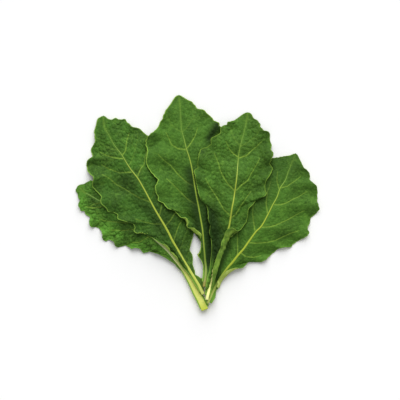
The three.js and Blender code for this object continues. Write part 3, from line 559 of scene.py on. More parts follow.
class Curve:
    """A smooth curve through points in plan, read by its share of length, as in the part's source."""

    STEPS = 24  # between two points

    def __init__(self, points):
        points = np.array(points, float)
        first = 2 * points[0] - points[1]
        last = 2 * points[-1] - points[-2]
        padded = np.vstack([first, points, last])
        traced = [points[:1]]
        for k in range(1, len(padded) - 2):
            traced.append(self.piece(padded[k - 1 : k + 3]))
        self.points = np.vstack(traced)
        steps = np.linalg.norm(np.diff(self.points, axis=0), axis=1)
        self.reached = np.concatenate([[0], np.cumsum(steps)])
        self.length = self.reached[-1]

    def piece(self, p):
        # A centripetal Catmull-Rom piece from p[1] to p[2].
        d0, d1, d2 = (max(np.linalg.norm(p[k + 1] - p[k]) ** 0.5, 1e-4) for k in range(3))
        t1 = ((p[1] - p[0]) / d0 - (p[2] - p[0]) / (d0 + d1) + (p[2] - p[1]) / d1) * d1
        t2 = ((p[2] - p[1]) / d1 - (p[3] - p[1]) / (d1 + d2) + (p[3] - p[2]) / d2) * d1
        s = (np.arange(1, self.STEPS + 1) / self.STEPS)[:, None]
        c2 = -3 * p[1] + 3 * p[2] - 2 * t1 - t2
        c3 = 2 * p[1] - 2 * p[2] + t1 + t2
        return p[1] + t1 * s + c2 * s**2 + c3 * s**3

    def at(self, share):
        reached = np.asarray(share) * self.length
        x = np.interp(reached, self.reached, self.points[:, 0])
        y = np.interp(reached, self.reached, self.points[:, 1])
        return np.stack([x, y], axis=-1)

    def right_of(self, share):
        step = 0.004
        along = self.at(np.minimum(share + step, 1)) - self.at(np.maximum(share - step, 0))
        along /= np.linalg.norm(along, axis=-1, keepdims=True)
        return np.stack([along[..., 1], -along[..., 0]], axis=-1)


# What the leaves laid so far reach up to


def empty_map():
    side = round(2 * MAP_HALF_SIZE / MAP_CELL) + 1
    return np.zeros((side, side))


def raise_map(heights, points):
    """Raise the cells that points lie in to the points."""
    column = np.round((points[:, 0] + MAP_HALF_SIZE) / MAP_CELL).astype(int)
    row = np.round((points[:, 1] + MAP_HALF_SIZE) / MAP_CELL).astype(int)
    np.maximum.at(heights, (row, column), points[:, 2])


def widened(heights, axis, radius):
    """The heights with a bend of this radius on either side of each, along one axis."""
    result = heights.copy()
    reach = round(DRAPE_REACH / MAP_CELL)
    for k in range(-reach, reach + 1):
        lowered = np.roll(heights, k, axis) - (k * MAP_CELL) ** 2 / (2 * radius)
        result = np.maximum(result, lowered)
    return result


def height_at(heights, x, y):
    """The map's height between its cells."""
    column = (x + MAP_HALF_SIZE) / MAP_CELL
    row = (y + MAP_HALF_SIZE) / MAP_CELL
    c = np.floor(column).astype(int)
    r = np.floor(row).astype(int)
    near = mix(heights[r, c], heights[r, c + 1], column - c)
    far = mix(heights[r + 1, c], heights[r + 1, c + 1], column - c)
    return mix(near, far, row - r)


def drape_over(heights):
    """How high a leaf is held by those below it, at places and their fractions of its blade."""
    wide = widened(widened(heights, 1, DRAPE_RADIUS), 0, DRAPE_RADIUS)
    close = widened(widened(heights, 1, FOOT_RADIUS), 0, FOOT_RADIUS)

    def held_at(x, y, u):
        share = smooth_step(FOOT_UNTIL, DRAPED_FROM, u)
        return mix(height_at(close, x, y), height_at(wide, x, y), share)

    return held_at


# The midrib


class Midrib:
    """A stalk and its midrib, read by their share of length."""

    def __init__(self, leaf, held_at):
        self.curve = Curve(leaf["midrib"])
        self.foot = (leaf["bare_stalk"] + leaf["wing"]) / self.curve.length
        self.wing = leaf["wing"] / self.curve.length / (1 - self.foot)  # of the blade's length
        foot_size = (
            mix(leaf["stalk"][0], MIDRIB_MIDDLE[0], FOOT_WIDTH_SHARE),
            mix(leaf["stalk"][1], MIDRIB_MIDDLE[1], FOOT_DEPTH_SHARE),
        )
        self.sizes = [
            (0, *leaf["stalk"]),
            (self.foot, *foot_size),
            (self.blade_at(MIDRIB_MIDDLE_AT), *MIDRIB_MIDDLE),
            (1, *MIDRIB_TIP),
        ]
        self.levels = self.find_levels(leaf, held_at)

    def blade_at(self, u):
        """The share at a fraction of the blade's length, which is below 0 along the wing."""
        return mix(self.foot, 1, u)

    def width(self, share):
        return at_station(self.sizes, share, 1)

    def depth(self, share):
        return at_station(self.sizes, share, 2)

    def find_levels(self, leaf, held_at):
        """Heights of the blade's middle along it: arched, over what lies below, and nowhere too steep."""
        share = np.linspace(0, 1, LEVEL_STEPS + 1)
        place = self.curve.at(share)
        u = (share - self.foot) / (1 - self.foot)
        arch = leaf["arch"] * np.sin(math.pi * np.clip(u, 0, 1))
        held = held_at(place[:, 0], place[:, 1], u)
        over = smooth_step(0, SOLID_THICKNESS, held)
        depth = self.depth(share)
        needed = np.maximum(depth + arch, held + (depth + LAYER_CLEARANCE) * over)
        steps = np.abs(np.subtract.outer(np.arange(len(share)), np.arange(len(share))))
        fall = SLOPE_OF_STALK * self.curve.length / LEVEL_STEPS
        level = (needed[None, :] - fall * steps).max(axis=1)
        low = np.maximum(np.arange(len(share)) - LEVEL_SMOOTHING, 0)
        high = np.minimum(np.arange(len(share)) + LEVEL_SMOOTHING + 1, len(share))
        return np.array([level[a:b].mean() for a, b in zip(low, high)])

    def level(self, share):
        steps = np.linspace(0, 1, LEVEL_STEPS + 1)
        return np.maximum(np.interp(share, steps, self.levels), self.depth(share))


class Margin:
    """A margin, and its share at a fraction of the blade's length, which is below 0 along the wing."""

    def __init__(self, points, midrib):
        self.curve = Curve(points)
        self.wing = midrib.wing
        share = np.arange(0, WING_WITHIN, 1 / LOOKUPS)
        from_foot = np.linalg.norm(self.curve.at(share) - midrib.curve.at(midrib.foot), axis=1)
        self.wing_end = share[from_foot.argmin()]

    def share_at(self, u):
        in_wing = self.wing_end * (1 + u / self.wing)
        beyond = mix(self.wing_end, 1, np.maximum(u, 0) ** MARGIN_SWEEP)
        return np.where(u < 0, in_wing, beyond)

    def inward(self, share, side):
        """The direction from the margin into its blade, square to a chord of the margin."""
        before = self.curve.at(np.maximum(share - CHORD_OF_MARGIN, 0))
        chord = self.curve.at(np.minimum(share + CHORD_OF_MARGIN, 1)) - before
        chord /= np.linalg.norm(chord, axis=1, keepdims=True)
        return np.stack([-chord[:, 1], chord[:, 0]], axis=1) * side


# One half of a blade, as a grid of points from the midrib to the margin


def row_places(midrib):
    """Fractions of the blade's length, first those along the wing."""
    wing_rows = math.ceil(ROWS * midrib.wing)
    in_wing = np.linspace(-midrib.wing, 0, wing_rows, endpoint=False)
    return np.concatenate([in_wing, np.linspace(0, 1, ROWS + 1)])


def ruffle(leaf, side, margin_share, t, reach):
    """Uneven waves that grow to the margin. Their troughs are flat and lie on what is below."""
    wander = WAVES_WANDER * np.sin(2 * math.pi * (WANDERS * margin_share + leaf["wave_phase"]))
    turns = leaf["waves"] * margin_share + wander
    wave = np.sin(2 * math.pi * turns + leaf["wave_phase"] + side)
    grows = t**RUFFLE_GROWTH * smooth_step(0, FULL_WAVES_FROM, reach)
    return leaf["ruffle"] * grows * np.maximum(0, mix(wave, 1, TROUGH_LEVEL))


def teeth(leaf, margin_share, reach):
    """Small uneven teeth along the margin, which come and go."""
    crowding = TEETH_CROWD * np.sin(CROWDING * margin_share + leaf["wave_phase"])
    turns = 2 * math.pi * margin_share * TEETH + crowding
    swing = np.sin(2 * math.pi * TEETH_COME_AND_GO * margin_share + leaf["waves"])
    size = TOOTH * (TEETH_MEAN + (1 - TEETH_MEAN) * swing)
    return size * np.sin(turns) * smooth_step(*TEETH_GROW, reach)


def quilt(u, t, reach):
    """The blade's rise between its side veins."""
    swell = 0.5 - 0.5 * np.cos(2 * math.pi * SIDE_VEINS * u)
    return QUILTING * swell * np.sin(math.pi * t) * smooth_step(0, FULL_WAVES_FROM, reach)


def turn_along(leaf, side, u, tip_size, size):
    """How the margin is turned at each row: the radius of its bend, its flap and its angle."""
    turn = leaf["left_turn"] if side < 0 else leaf["right_turn"]
    return TURN_RADIUS * size, at_station(turn, u, 1) * tip_size, np.radians(at_station(turn, u, 2))


def turned_reach(radius, flap, angle):
    """How far a turned margin reaches past where it starts to turn."""
    turned_up = radius * np.sin(angle) + flap * np.cos(angle)
    return np.where(angle < math.pi / 2, turned_up, radius)


def row_directions(out, to_margin, least, u):
    """Which way each row runs from the midrib, and how far it is to the margin that way."""
    swept = np.maximum(
        smooth_step(SQUARE_UNTIL, SWEPT_FROM, np.linalg.norm(to_margin, axis=1)),
        smooth_step(*SWEPT_TO_TIP, u),
    )
    square_reach = np.maximum((to_margin * out).sum(axis=1), least)
    across = mix(out * square_reach[:, None], to_margin, swept[:, None])
    reach = np.linalg.norm(across, axis=1)
    return across / reach[:, None], reach


def draped_heights(midrib, held_at, u, t, plan, reach):
    """Heights from the midrib down to the surface, and up again over what the blade lies on."""
    share = midrib.blade_at(u)
    rib_depth = midrib.depth(share)[:, None] * smooth_step(0, RIB_ROOM_WIDTH, reach)
    down = smooth_step(0, 1, t) * smooth_step(0, FULL_WAVES_FROM, reach)
    own = mix(midrib.level(share)[:, None], EDGE_REST, down)
    held = held_at(plan[..., 0], plan[..., 1], u[:, None] + 0 * t)
    rib_room = rib_depth * (1 - smooth_step(0, RIB_ROOM_WIDTH, reach * t))
    over = smooth_step(0, SOLID_THICKNESS, held)
    lifted = held + (LAYER_CLEARANCE + rib_room) * over
    return soft_max(own, lifted, DRAPE_BLEND * over * smooth_step(0, BLEND_GROWS, t))


def half_blade(leaf, midrib, margin, held_at, side):
    """Points in rows by columns, and how far each is from the margin's very edge."""
    u = row_places(midrib)
    share = midrib.blade_at(u)
    tip_size = mix(1, SIZE_AT_TIP, smooth_step(POINTED_FROM, 1, u))
    size = tip_size * mix(SIZE_OF_WING, 1, smooth_step(0, FOOT_ENDS_AT, u))
    out = midrib.curve.right_of(share) * side
    slot = tip_size * (midrib.width(share) / 2 + MIDRIB_GAP)
    inner = midrib.curve.at(share) + out * slot[:, None]
    radius, flap, angle = turn_along(leaf, side, u, tip_size, size)

    margin_share = margin.share_at(u)
    to_margin = margin.curve.at(margin_share) - inner
    across, reach = row_directions(out, to_margin, NARROWEST_HALF * size, u)
    reach = reach + teeth(leaf, margin_share, reach) - turned_reach(radius, flap, angle)
    reach = np.maximum(reach, NARROWEST_HALF * size)[:, None]

    t = np.linspace(0, 1, COLUMNS + 1)[None, :]
    plan = inner[:, None, :] + across[:, None, :] * (reach * t)[:, :, None]
    z = draped_heights(midrib, held_at, u, t, plan, reach)
    z = z + ruffle(leaf, side, margin_share[:, None], t, reach) + quilt(u[:, None], t, reach)
    flat = np.concatenate([plan, z[:, :, None]], axis=2)

    def height_under(points):
        # The height of the blade and of the midrib's crown under the blade's own folded margin.
        past = ((points[:, :2] - inner) * across).sum(axis=1) / reach[:, 0]
        place = np.clip(past, 0, 1) * COLUMNS
        k = np.minimum(place.astype(int), COLUMNS - 1)
        row = np.arange(len(points))
        blade = mix(z[row, k], z[row, k + 1], place - k)
        return np.maximum(blade, crown_near(midrib, points[:, :2]))

    turn = (across, margin.inward(margin_share, side), radius, flap, angle)
    turned = turned_margin(flat[:, -1], turn, height_under)
    from_edge = edge_distances((1 - t) * reach, radius * angle, flap)
    return np.concatenate([flat, turned], axis=1), from_edge


def edge_distances(to_bend, bend, flap):
    """How far each point is from the margin's very edge, along the blade, its bend and its flap."""
    bend_left = 1 - np.arange(1, BEND_STEPS + 1) / BEND_STEPS
    flap_left = 1 - np.arange(1, FLAP_STEPS + 1) / FLAP_STEPS
    bend = bend[:, None]
    flap = flap[:, None]
    return np.concatenate([to_bend + bend + flap, flap + bend * bend_left, flap * flap_left], axis=1)


def crown_near(midrib, plan):
    """The height of the midrib's crown at places, or less by the distance from the midrib's side."""
    share = np.arange(0, MIDRIB_ENDS_AT, 1 / LOOKUPS)
    gaps = np.linalg.norm(plan[:, None, :] - midrib.curve.at(share)[None, :, :], axis=2)
    found = share[gaps.argmin(axis=1)]
    beside = np.maximum(0, gaps.min(axis=1) - midrib.width(found) / 2 - MIDRIB_GAP)
    return midrib.level(found) + MIDRIB_PROUD + SOLID_THICKNESS / 2 - beside


def turned_margin(edge, turn, height_under):
    """Columns past the edge: round the bend, then out over the flap, which clears its own blade."""
    across, inward, radius, flap, angle = turn
    columns = []
    for k in range(1, BEND_STEPS + 1):
        columns.append(on_bend(edge, across, radius, angle * k / BEND_STEPS))
    bend_end = columns[-1]
    folded = smooth_step(math.pi / 2, FOLDED_FROM, angle)
    direction = mix(across * np.sign(np.cos(angle))[:, None], inward, folded[:, None])
    direction /= np.linalg.norm(direction, axis=1, keepdims=True)
    past = np.empty_like(edge)
    past[:, :2] = direction * (flap * np.abs(np.cos(angle)))[:, None]
    past[:, 2] = flap * np.sin(angle)
    rise = np.zeros(len(edge))
    for share in FOLD_CHECKS:
        point = bend_end + past * share
        rise = np.maximum(rise, (height_under(point) + FOLD_CLEARANCE - point[:, 2]) / share)
    past[:, 2] += folded * rise
    for k in range(1, FLAP_STEPS + 1):
        columns.append(bend_end + past * (k / FLAP_STEPS))
    return np.stack(columns, axis=1)


def on_bend(edge, across, radius, turned):
    """Points on the bend, past the edge by this angle."""
    point = edge.copy()
    point[:, :2] += across * (radius * np.sin(turned))[:, None]
    point[:, 2] += radius * (1 - np.cos(turned))
    return point


# Relief on the blade: sunken veins and the puckers between them


def distance_to_lines(points, lines):
    """The distance from each point to the nearest of some open lines, and the share along it."""
    best = np.full(len(points), np.inf)
    along = np.zeros(len(points))
    for line in lines:
        line = np.asarray(line, float)
        steps = len(line) - 1
        for k in range(steps):
            a, b = line[k], line[k + 1]
            ab = b - a
            t = np.clip(((points - a) @ ab) / max(ab @ ab, 1e-9), 0, 1)
            d = np.linalg.norm(points - (a + t[:, None] * ab), axis=1)
            nearer = d < best
            best[nearer] = d[nearer]
            along[nearer] = (k + t[nearer]) / steps
    return best, along


def veins_by_rule(leaf, grid):
    """Side veins where the photo shows none to read, skipping those near a read one."""
    middle = grid.shape[1] // 2
    t = np.linspace(0, VEIN_REACH, VEIN_POINTS)
    veins = []
    for side in (-1, 1):
        for k in range(SIDE_VEINS + 1):
            u = FIRST_VEIN_AT + VEIN_SPACING * k + VEIN_SWEEP * t**VEIN_BEND
            row = len(grid) - 1 - ((1 - u) * ROWS).astype(int)
            column = middle + side * (t * COLUMNS).astype(int)
            line = grid[row, column, :2]
            to_read, _ = distance_to_lines(line[3:6], leaf["veins"])
            if to_read.min() >= VEIN_ROOM:
                veins.append(line)
    return veins


def branches_of(veins, seed):
    """Small branches off each side vein, alternately to either side, bent towards its far end."""
    random = np.random.default_rng(seed)
    lines = []
    for vein in veins:
        curve = Curve(vein)
        count = int(curve.length // BRANCH_SPACING)
        for k in range(1, count):
            share = k / count
            side = 1 if k % 2 else -1
            start = curve.at(share)
            away = curve.right_of(share) * side
            along = np.array([-away[1], away[0]]) * side
            size = mix(*BRANCH_LENGTH, random.random()) * (1 - BRANCHES_SHORTEN * share)
            middle = start + away * size * BRANCH_MIDDLE[0] + along * size * BRANCH_MIDDLE[1]
            forward = BRANCH_END[1] + BRANCH_SWAY * random.random()
            end = start + away * size * BRANCH_END[0] + along * size * forward
            lines.append(np.array([start, middle, end]))
    return lines


def cell_pattern(points, cell, seed):
    """How far each point is inside its cell of an uneven pattern of cells: 0 on the border, up to 1."""
    random = np.random.default_rng(seed)
    jitter = random.random((PATTERN_CELLS, PATTERN_CELLS, 2))
    scaled = points / cell
    base = np.floor(scaled).astype(int)
    first = np.full(len(points), np.inf)
    second = first
    for dx in (-1, 0, 1):
        for dy in (-1, 0, 1):
            corner = base + (dx, dy)
            centre = corner + jitter[corner[:, 0] % PATTERN_CELLS, corner[:, 1] % PATTERN_CELLS]
            d = np.linalg.norm(scaled - centre, axis=1)
            nearer = d < first
            second = np.where(nearer, first, np.minimum(second, d))
            first = np.where(nearer, d, first)
    return np.clip(second - first, 0, 1)


def puckers(plan):
    """Heights of uneven raised cells, with smaller ones on them, about a middle level of nought."""
    height = 0
    for cell, share, seed in PUCKERS:
        inside = cell_pattern(plan, cell, seed)
        height += share * (np.minimum(inside / PUCKERS_LEVEL_FROM, 1) - 0.5)
    return height


def grid_normals(grid):
    along = np.gradient(grid, axis=0)
    across = np.gradient(grid, axis=1)
    normals = np.cross(across, along)
    return normals / np.linalg.norm(normals, axis=2, keepdims=True)


def vein_mark(plan, lines):
    """How strongly each place is on one of some veins, which thin and fade along their way."""
    distance, along = distance_to_lines(plan, lines)
    width = VEIN_WIDTH * (1 - VEIN_THINS * along)
    return distance, fading(distance, width) * (1 - VEIN_FADES * along)


def relief(leaf, plan, from_edge, read, by_rule):
    """How far veins and puckers rise from the blade, and how strongly each place is on them."""
    from_read, read_mark = vein_mark(plan, read)
    from_ruled, ruled_mark = vein_mark(plan, by_rule)
    from_branch, _ = distance_to_lines(plan, branches_of(read + by_rule, seed=len(by_rule)))
    vein = np.maximum(read_mark, VEINS_BY_RULE * ruled_mark)
    branch = fading(from_branch, BRANCH_WIDTH)
    swell = SWELL * (1 - fading(np.minimum(from_read, from_ruled), SWELLS_WITHIN))
    height = leaf["blister"] * puckers(plan) + swell - VEIN_DEPTH * vein - BRANCH_DEPTH * branch
    middle = from_edge.shape[1] // 2
    reach = np.repeat(from_edge[:, [middle - 1, middle, middle + 1]], (middle, 1, middle), axis=1)
    calm = smooth_step(0, CALM_RIM, from_edge) * smooth_step(*RELIEF_GROWS, reach)
    return calm.reshape(-1) * height, vein, branch


# Meshes


def add_attributes(piece, attributes):
    for name, values in attributes.items():
        layer = piece.data.attributes.new(name, "FLOAT", "POINT")
        layer.data.foreach_set("value", np.asarray(values, np.float32).reshape(-1))


def grid_object(name, grid):
    """A piece started as a plane grid, whose points are then set to those of the given grid."""
    rows, columns = grid.shape[:2]
    bpy.ops.object.select_all(action="DESELECT")
    bpy.ops.mesh.primitive_grid_add(x_subdivisions=columns - 1, y_subdivisions=rows - 1, size=1)
    piece = bpy.context.object
    piece.name = name
    piece.data.name = name
    piece.data.vertices.foreach_set("co", (grid * MM).reshape(-1))
    piece.data.update()
    bpy.ops.object.shade_smooth()
    return piece


def thicken(piece, thickness):
    """Give a sheet its thickness, with its second material on the underside."""
    layer = piece.modifiers.new("thickness", "SOLIDIFY")
    layer.thickness = thickness * MM
    layer.offset = 0
    layer.use_rim = True
    layer.material_offset = 1
    layer.material_offset_rim = 0
    bpy.context.view_layer.objects.active = piece
    bpy.ops.object.modifier_apply(modifier=layer.name)


def blade_grid(leaf, midrib, held_at):
    """Both halves of a blade, joined by a column that runs on inside the midrib."""
    left, left_edge = half_blade(leaf, midrib, Margin(leaf["left"], midrib), held_at, -1)
    right, right_edge = half_blade(leaf, midrib, Margin(leaf["right"], midrib), held_at, 1)
    between = (left[:, :1] + right[:, :1]) / 2
    u = row_places(midrib)
    inside_rib = midrib.level(midrib.blade_at(u)) - SUNK_IN_RIB
    sunk = np.minimum(between[:, 0, 2], inside_rib)
    between[:, 0, 2] = np.where(u < MIDRIB_ENDS_AT, sunk, between[:, 0, 2])
    grid = np.concatenate([left[:, ::-1], between, right], axis=1)
    middle_edge = (left_edge[:, :1] + right_edge[:, :1]) / 2
    from_edge = np.concatenate([left_edge[:, ::-1], middle_edge, right_edge], axis=1)
    return grid, from_edge


def painted_shade(leaf, plan):
    """Painted shade, darker green in the hollows along the midribs and beside the leaves above."""
    light = np.ones(len(plan))
    for line, width, strength in leaf["painted_shades"]:
        distance, _ = distance_to_lines(plan, [line])
        light *= 1 - strength * fading(distance, width)
    return 1 - light


def pressed_flat(leaf, plan):
    """1 where a leaf on top hides this one, down to 0 a few millimetres outside that leaf's margin."""
    flat = np.zeros(len(plan))
    above = LEAVES_AS_THEY_LIE[LEAVES_AS_THEY_LIE.index(leaf) + 1 :]
    for other in above:
        outline = np.array(other["left"] + other["right"][::-1], float)
        distance, _ = distance_to_lines(plan, [outline])
        inside = np.zeros(len(plan), bool)
        for a, b in zip(outline, np.roll(outline, -1, axis=0)):
            spans = (a[1] > plan[:, 1]) != (b[1] > plan[:, 1])
            rise = b[1] - a[1] if b[1] != a[1] else 1
            crossing = a[0] + (plan[:, 1] - a[1]) * (b[0] - a[0]) / rise
            inside ^= spans & (plan[:, 0] < crossing)
        signed = np.where(inside, distance, -distance)
        flat = np.maximum(flat, smooth_step(-FLAT_OUTSIDE, FLAT_INSIDE, signed))
    return flat


def make_blade(leaf, midrib, grid, from_edge, shift):
    plan = grid[..., :2].reshape(-1, 2)
    read = [np.array(vein, float) for vein in leaf["veins"]]
    by_rule = veins_by_rule(leaf, grid)
    end_of_midrib = np.linspace(MIDRIB_ENDS_AT, MIDRIB_FADES_AT, MIDRIB_END_POINTS)
    by_rule.append(midrib.curve.at(end_of_midrib))
    height, vein, branch = relief(leaf, plan, from_edge, read, by_rule)
    height = np.maximum(height * (1 - pressed_flat(leaf, plan)), DEEPEST)
    from_rib, _ = distance_to_lines(plan, [midrib.curve.points])
    height *= 1 - fading(from_rib, RIB_CALM)
    fine = grid + grid_normals(grid) * height.reshape(*from_edge.shape, 1)
    fine[..., 2] = np.maximum(fine[..., 2], LOWEST_MIDDLE)
    piece = grid_object(f"{leaf['name']}_green_blade", fine + shift)
    wing = smooth_step(*WING_PALES, row_places(midrib))
    attributes = {
        "vein": vein,
        "branch": branch,
        "near_rib": fading(from_rib, RIB_GLOW),
        "from_edge": from_edge,
        # painted shade, the green made darker where shade falls in the hollows and beside the leaves above
        "shade": painted_shade(leaf, plan),
        "wing": np.repeat(wing, grid.shape[1]),
    }
    add_attributes(piece, attributes)
    piece.data.materials.append(leaf_upper_side(leaf))
    piece.data.materials.append(leaf_under_side(leaf))
    thicken(piece, BLADE_THICKNESS)
    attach(piece, "root")
    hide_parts(f"{leaf['name']}_blade")


def stalk_profile(width, depth, top):
    """A rounded section with a flat underside and a low crown, as (across, up) from the blade."""
    angles = np.linspace(0, 2 * math.pi, STALK_SIDES, endpoint=False)
    across = np.sign(np.cos(angles)) * np.abs(np.cos(angles)) ** STALK_SQUARENESS
    up = np.sin(angles)
    x = across * width[:, None] / 2 * np.where(up < 0, 1 + UNDERSIDE_NARROWS * up, 1)
    above = np.maximum(up, 0) * top[:, None]
    below = np.clip(up * UNDERSIDE_FLATTENS, -1, 0) * depth[:, None]
    return x, above + below


def stalk_rings(leaf, midrib, shift):
    """Rings of points from the cut to the midrib's end, and their shares of its length."""
    end = midrib.blade_at(MIDRIB_ENDS_AT)
    share = np.linspace(0, end, STALK_SECTIONS)
    place = midrib.curve.at(share)
    right = midrib.curve.right_of(share)
    taper = 1 - THINNED_BY * smooth_step(leaf["sinks_from"] * end, end, share)
    width = (midrib.width(share) + STALK_WIDER) * taper
    depth = midrib.depth(share) * taper
    x, up = stalk_profile(width, depth, (MIDRIB_PROUD + SOLID_THICKNESS / 2) * taper)
    level = midrib.level(share)
    points = np.empty((*x.shape, 3))
    points[..., 0] = place[:, :1] + right[:, :1] * x
    points[..., 1] = place[:, 1:] + right[:, 1:] * x
    points[..., 2] = level[:, None] + up
    return points + shift, share


def tube_object(name, rings):
    """A closed tube from rings of points, with a slightly hollow cut at its first end."""
    sections, around = rings.shape[:2]
    bpy.ops.object.select_all(action="DESELECT")
    bpy.ops.mesh.primitive_cylinder_add(vertices=around, end_fill_type="NOTHING")
    piece = bpy.context.object
    piece.name = name
    piece.data.name = name
    first = rings[0].mean(axis=0)
    inward = rings[HOLLOW_POINTS_TO].mean(axis=0) - first
    lip = mix(first, rings[0], CUT_LIP)
    pith = mix(first, rings[0], CUT_PITH) + inward * PITH_DEPTH
    last = rings[-1].mean(axis=0)
    points = [rings.reshape(-1, 3), lip, pith, first[None] + inward * CUT_DEPTH, last[None]]
    vertices = np.concatenate(points) * MM
    faces = []
    for k in range(sections - 1):
        for n in range(around):
            m = (n + 1) % around
            a, b = k * around + n, k * around + m
            faces.append((a, b, b + around, a + around))
    cut = sections * around
    total = len(vertices)
    for n in range(around):
        m = (n + 1) % around
        faces.append((m, n, cut + n, cut + m))
        faces.append((cut + m, cut + n, cut + around + n, cut + around + m))
        faces.append((cut + around + m, cut + around + n, total - 2))
        faces.append((cut - around + n, cut - around + m, total - 1))
    piece.data.clear_geometry()
    piece.data.from_pydata(vertices.tolist(), [], faces)
    piece.data.update()
    bpy.ops.object.shade_smooth()
    return piece


def make_stalk(leaf, midrib, shift):
    rings, share = stalk_rings(leaf, midrib, shift)
    piece = tube_object(f"{leaf['name']}_pale_stalk", rings)
    along = np.repeat(share, STALK_SIDES)
    on_cut = np.ones(len(piece.data.vertices) - len(along) - 1)
    sideways = np.linalg.norm(rings[..., :2] - rings[..., :2].mean(axis=1, keepdims=True), axis=2)
    sideways /= sideways.max(axis=1, keepdims=True)
    grown_green = smooth_step(0, leaf["flanks_green_at"], share)[:, None]
    green_from = mix(NO_GREEN_FLANK, GREEN_FLANK_FROM, grown_green)
    flank = smooth_step(green_from - FLANK_BLEND, green_from + FLANK_BLEND, sideways).reshape(-1)
    attributes = {
        "along": np.concatenate([along, ALONG_AT_CUT * on_cut, share[-1:]]),
        "flank": np.concatenate([flank, 0 * on_cut, [0]]),
        "cut": np.concatenate([0 * along, on_cut, [0]]),
    }
    add_attributes(piece, attributes)
    piece.data.materials.append(stalk_material(leaf))
    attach(piece, "root")
    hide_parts(f"{leaf['name']}_stalk")


# Materials


def linear(hex_colour):
    """A colour read as sRGB, in the scene's linear values."""
    parts = [int(hex_colour[k : k + 2], 16) / 255 for k in (1, 3, 5)]
    return tuple(p / 12.92 if p <= 0.04045 else ((p + 0.055) / 1.055) ** 2.4 for p in parts) + (1,)


def new_material(name):
    material = bpy.data.materials.new(name)
    material.use_nodes = True
    return material


def add_node(material, kind, settings, inputs):
    """A node with its settings, and its inputs' values or links."""
    tree = material.node_tree
    node = tree.nodes.new(kind)
    for name, value in settings.items():
        setattr(node, name, value)
    for socket, value in inputs.items():
        if isinstance(value, bpy.types.NodeSocket):
            tree.links.new(value, node.inputs[socket])
        else:
            node.inputs[socket].default_value = value
    return node


def finish_material(material, colour, height, bump_mm, roughness, specular):
    """Give the shader its colour, its roughness, and a bump this high from a pattern."""
    tree = material.node_tree
    shader = tree.nodes["Principled BSDF"]
    bump = {"Height": height, "Strength": 0.5, "Distance": bump_mm * MM}
    bump = add_node(material, "ShaderNodeBump", {}, bump)
    tree.links.new(colour, shader.inputs["Base Color"])
    tree.links.new(bump.outputs["Normal"], shader.inputs["Normal"])
    shader.inputs["Roughness"].default_value = roughness
    shader.inputs["Specular IOR Level"].default_value = specular


def per_mm(size_mm):
    """A texture's scale for features about this many millimetres across."""
    return 1 / (size_mm * MM)


BENT_BY = 3  # millimetres, within which the net's lines wander
SMOOTH = {"interpolation_type": "SMOOTHSTEP"}
COLOURS = {"data_type": "RGBA"}


def laid_over(material, colour, name, ends, share, hex_colour):
    """The colour, with a share of another over it where an attribute goes from one end to the other."""
    mark = add_node(material, "ShaderNodeAttribute", {"attribute_name": name}, {})
    mark = {"Value": mark.outputs["Fac"], "From Min": ends[0], "From Max": ends[1], "To Max": share}
    mark = add_node(material, "ShaderNodeMapRange", SMOOTH, mark).outputs["Result"]
    tones = {0: mark, 6: colour, 7: linear(hex_colour)}
    return add_node(material, "ShaderNodeMix", COLOURS, tones).outputs[2]


def in_clouds(material, place, size_mm, detail, darker, lighter):
    """Two greens in soft clouds about this many millimetres across."""
    clouds = {"Vector": place, "Scale": per_mm(size_mm), "Detail": detail}
    clouds = add_node(material, "ShaderNodeTexNoise", {}, clouds).outputs["Fac"]
    clouds = {"Value": clouds, "From Min": 0.36, "From Max": 0.64}
    clouds = add_node(material, "ShaderNodeMapRange", SMOOTH, clouds).outputs["Result"]
    tones = {0: clouds, 6: linear(darker), 7: linear(lighter)}
    return add_node(material, "ShaderNodeMix", COLOURS, tones).outputs[2]


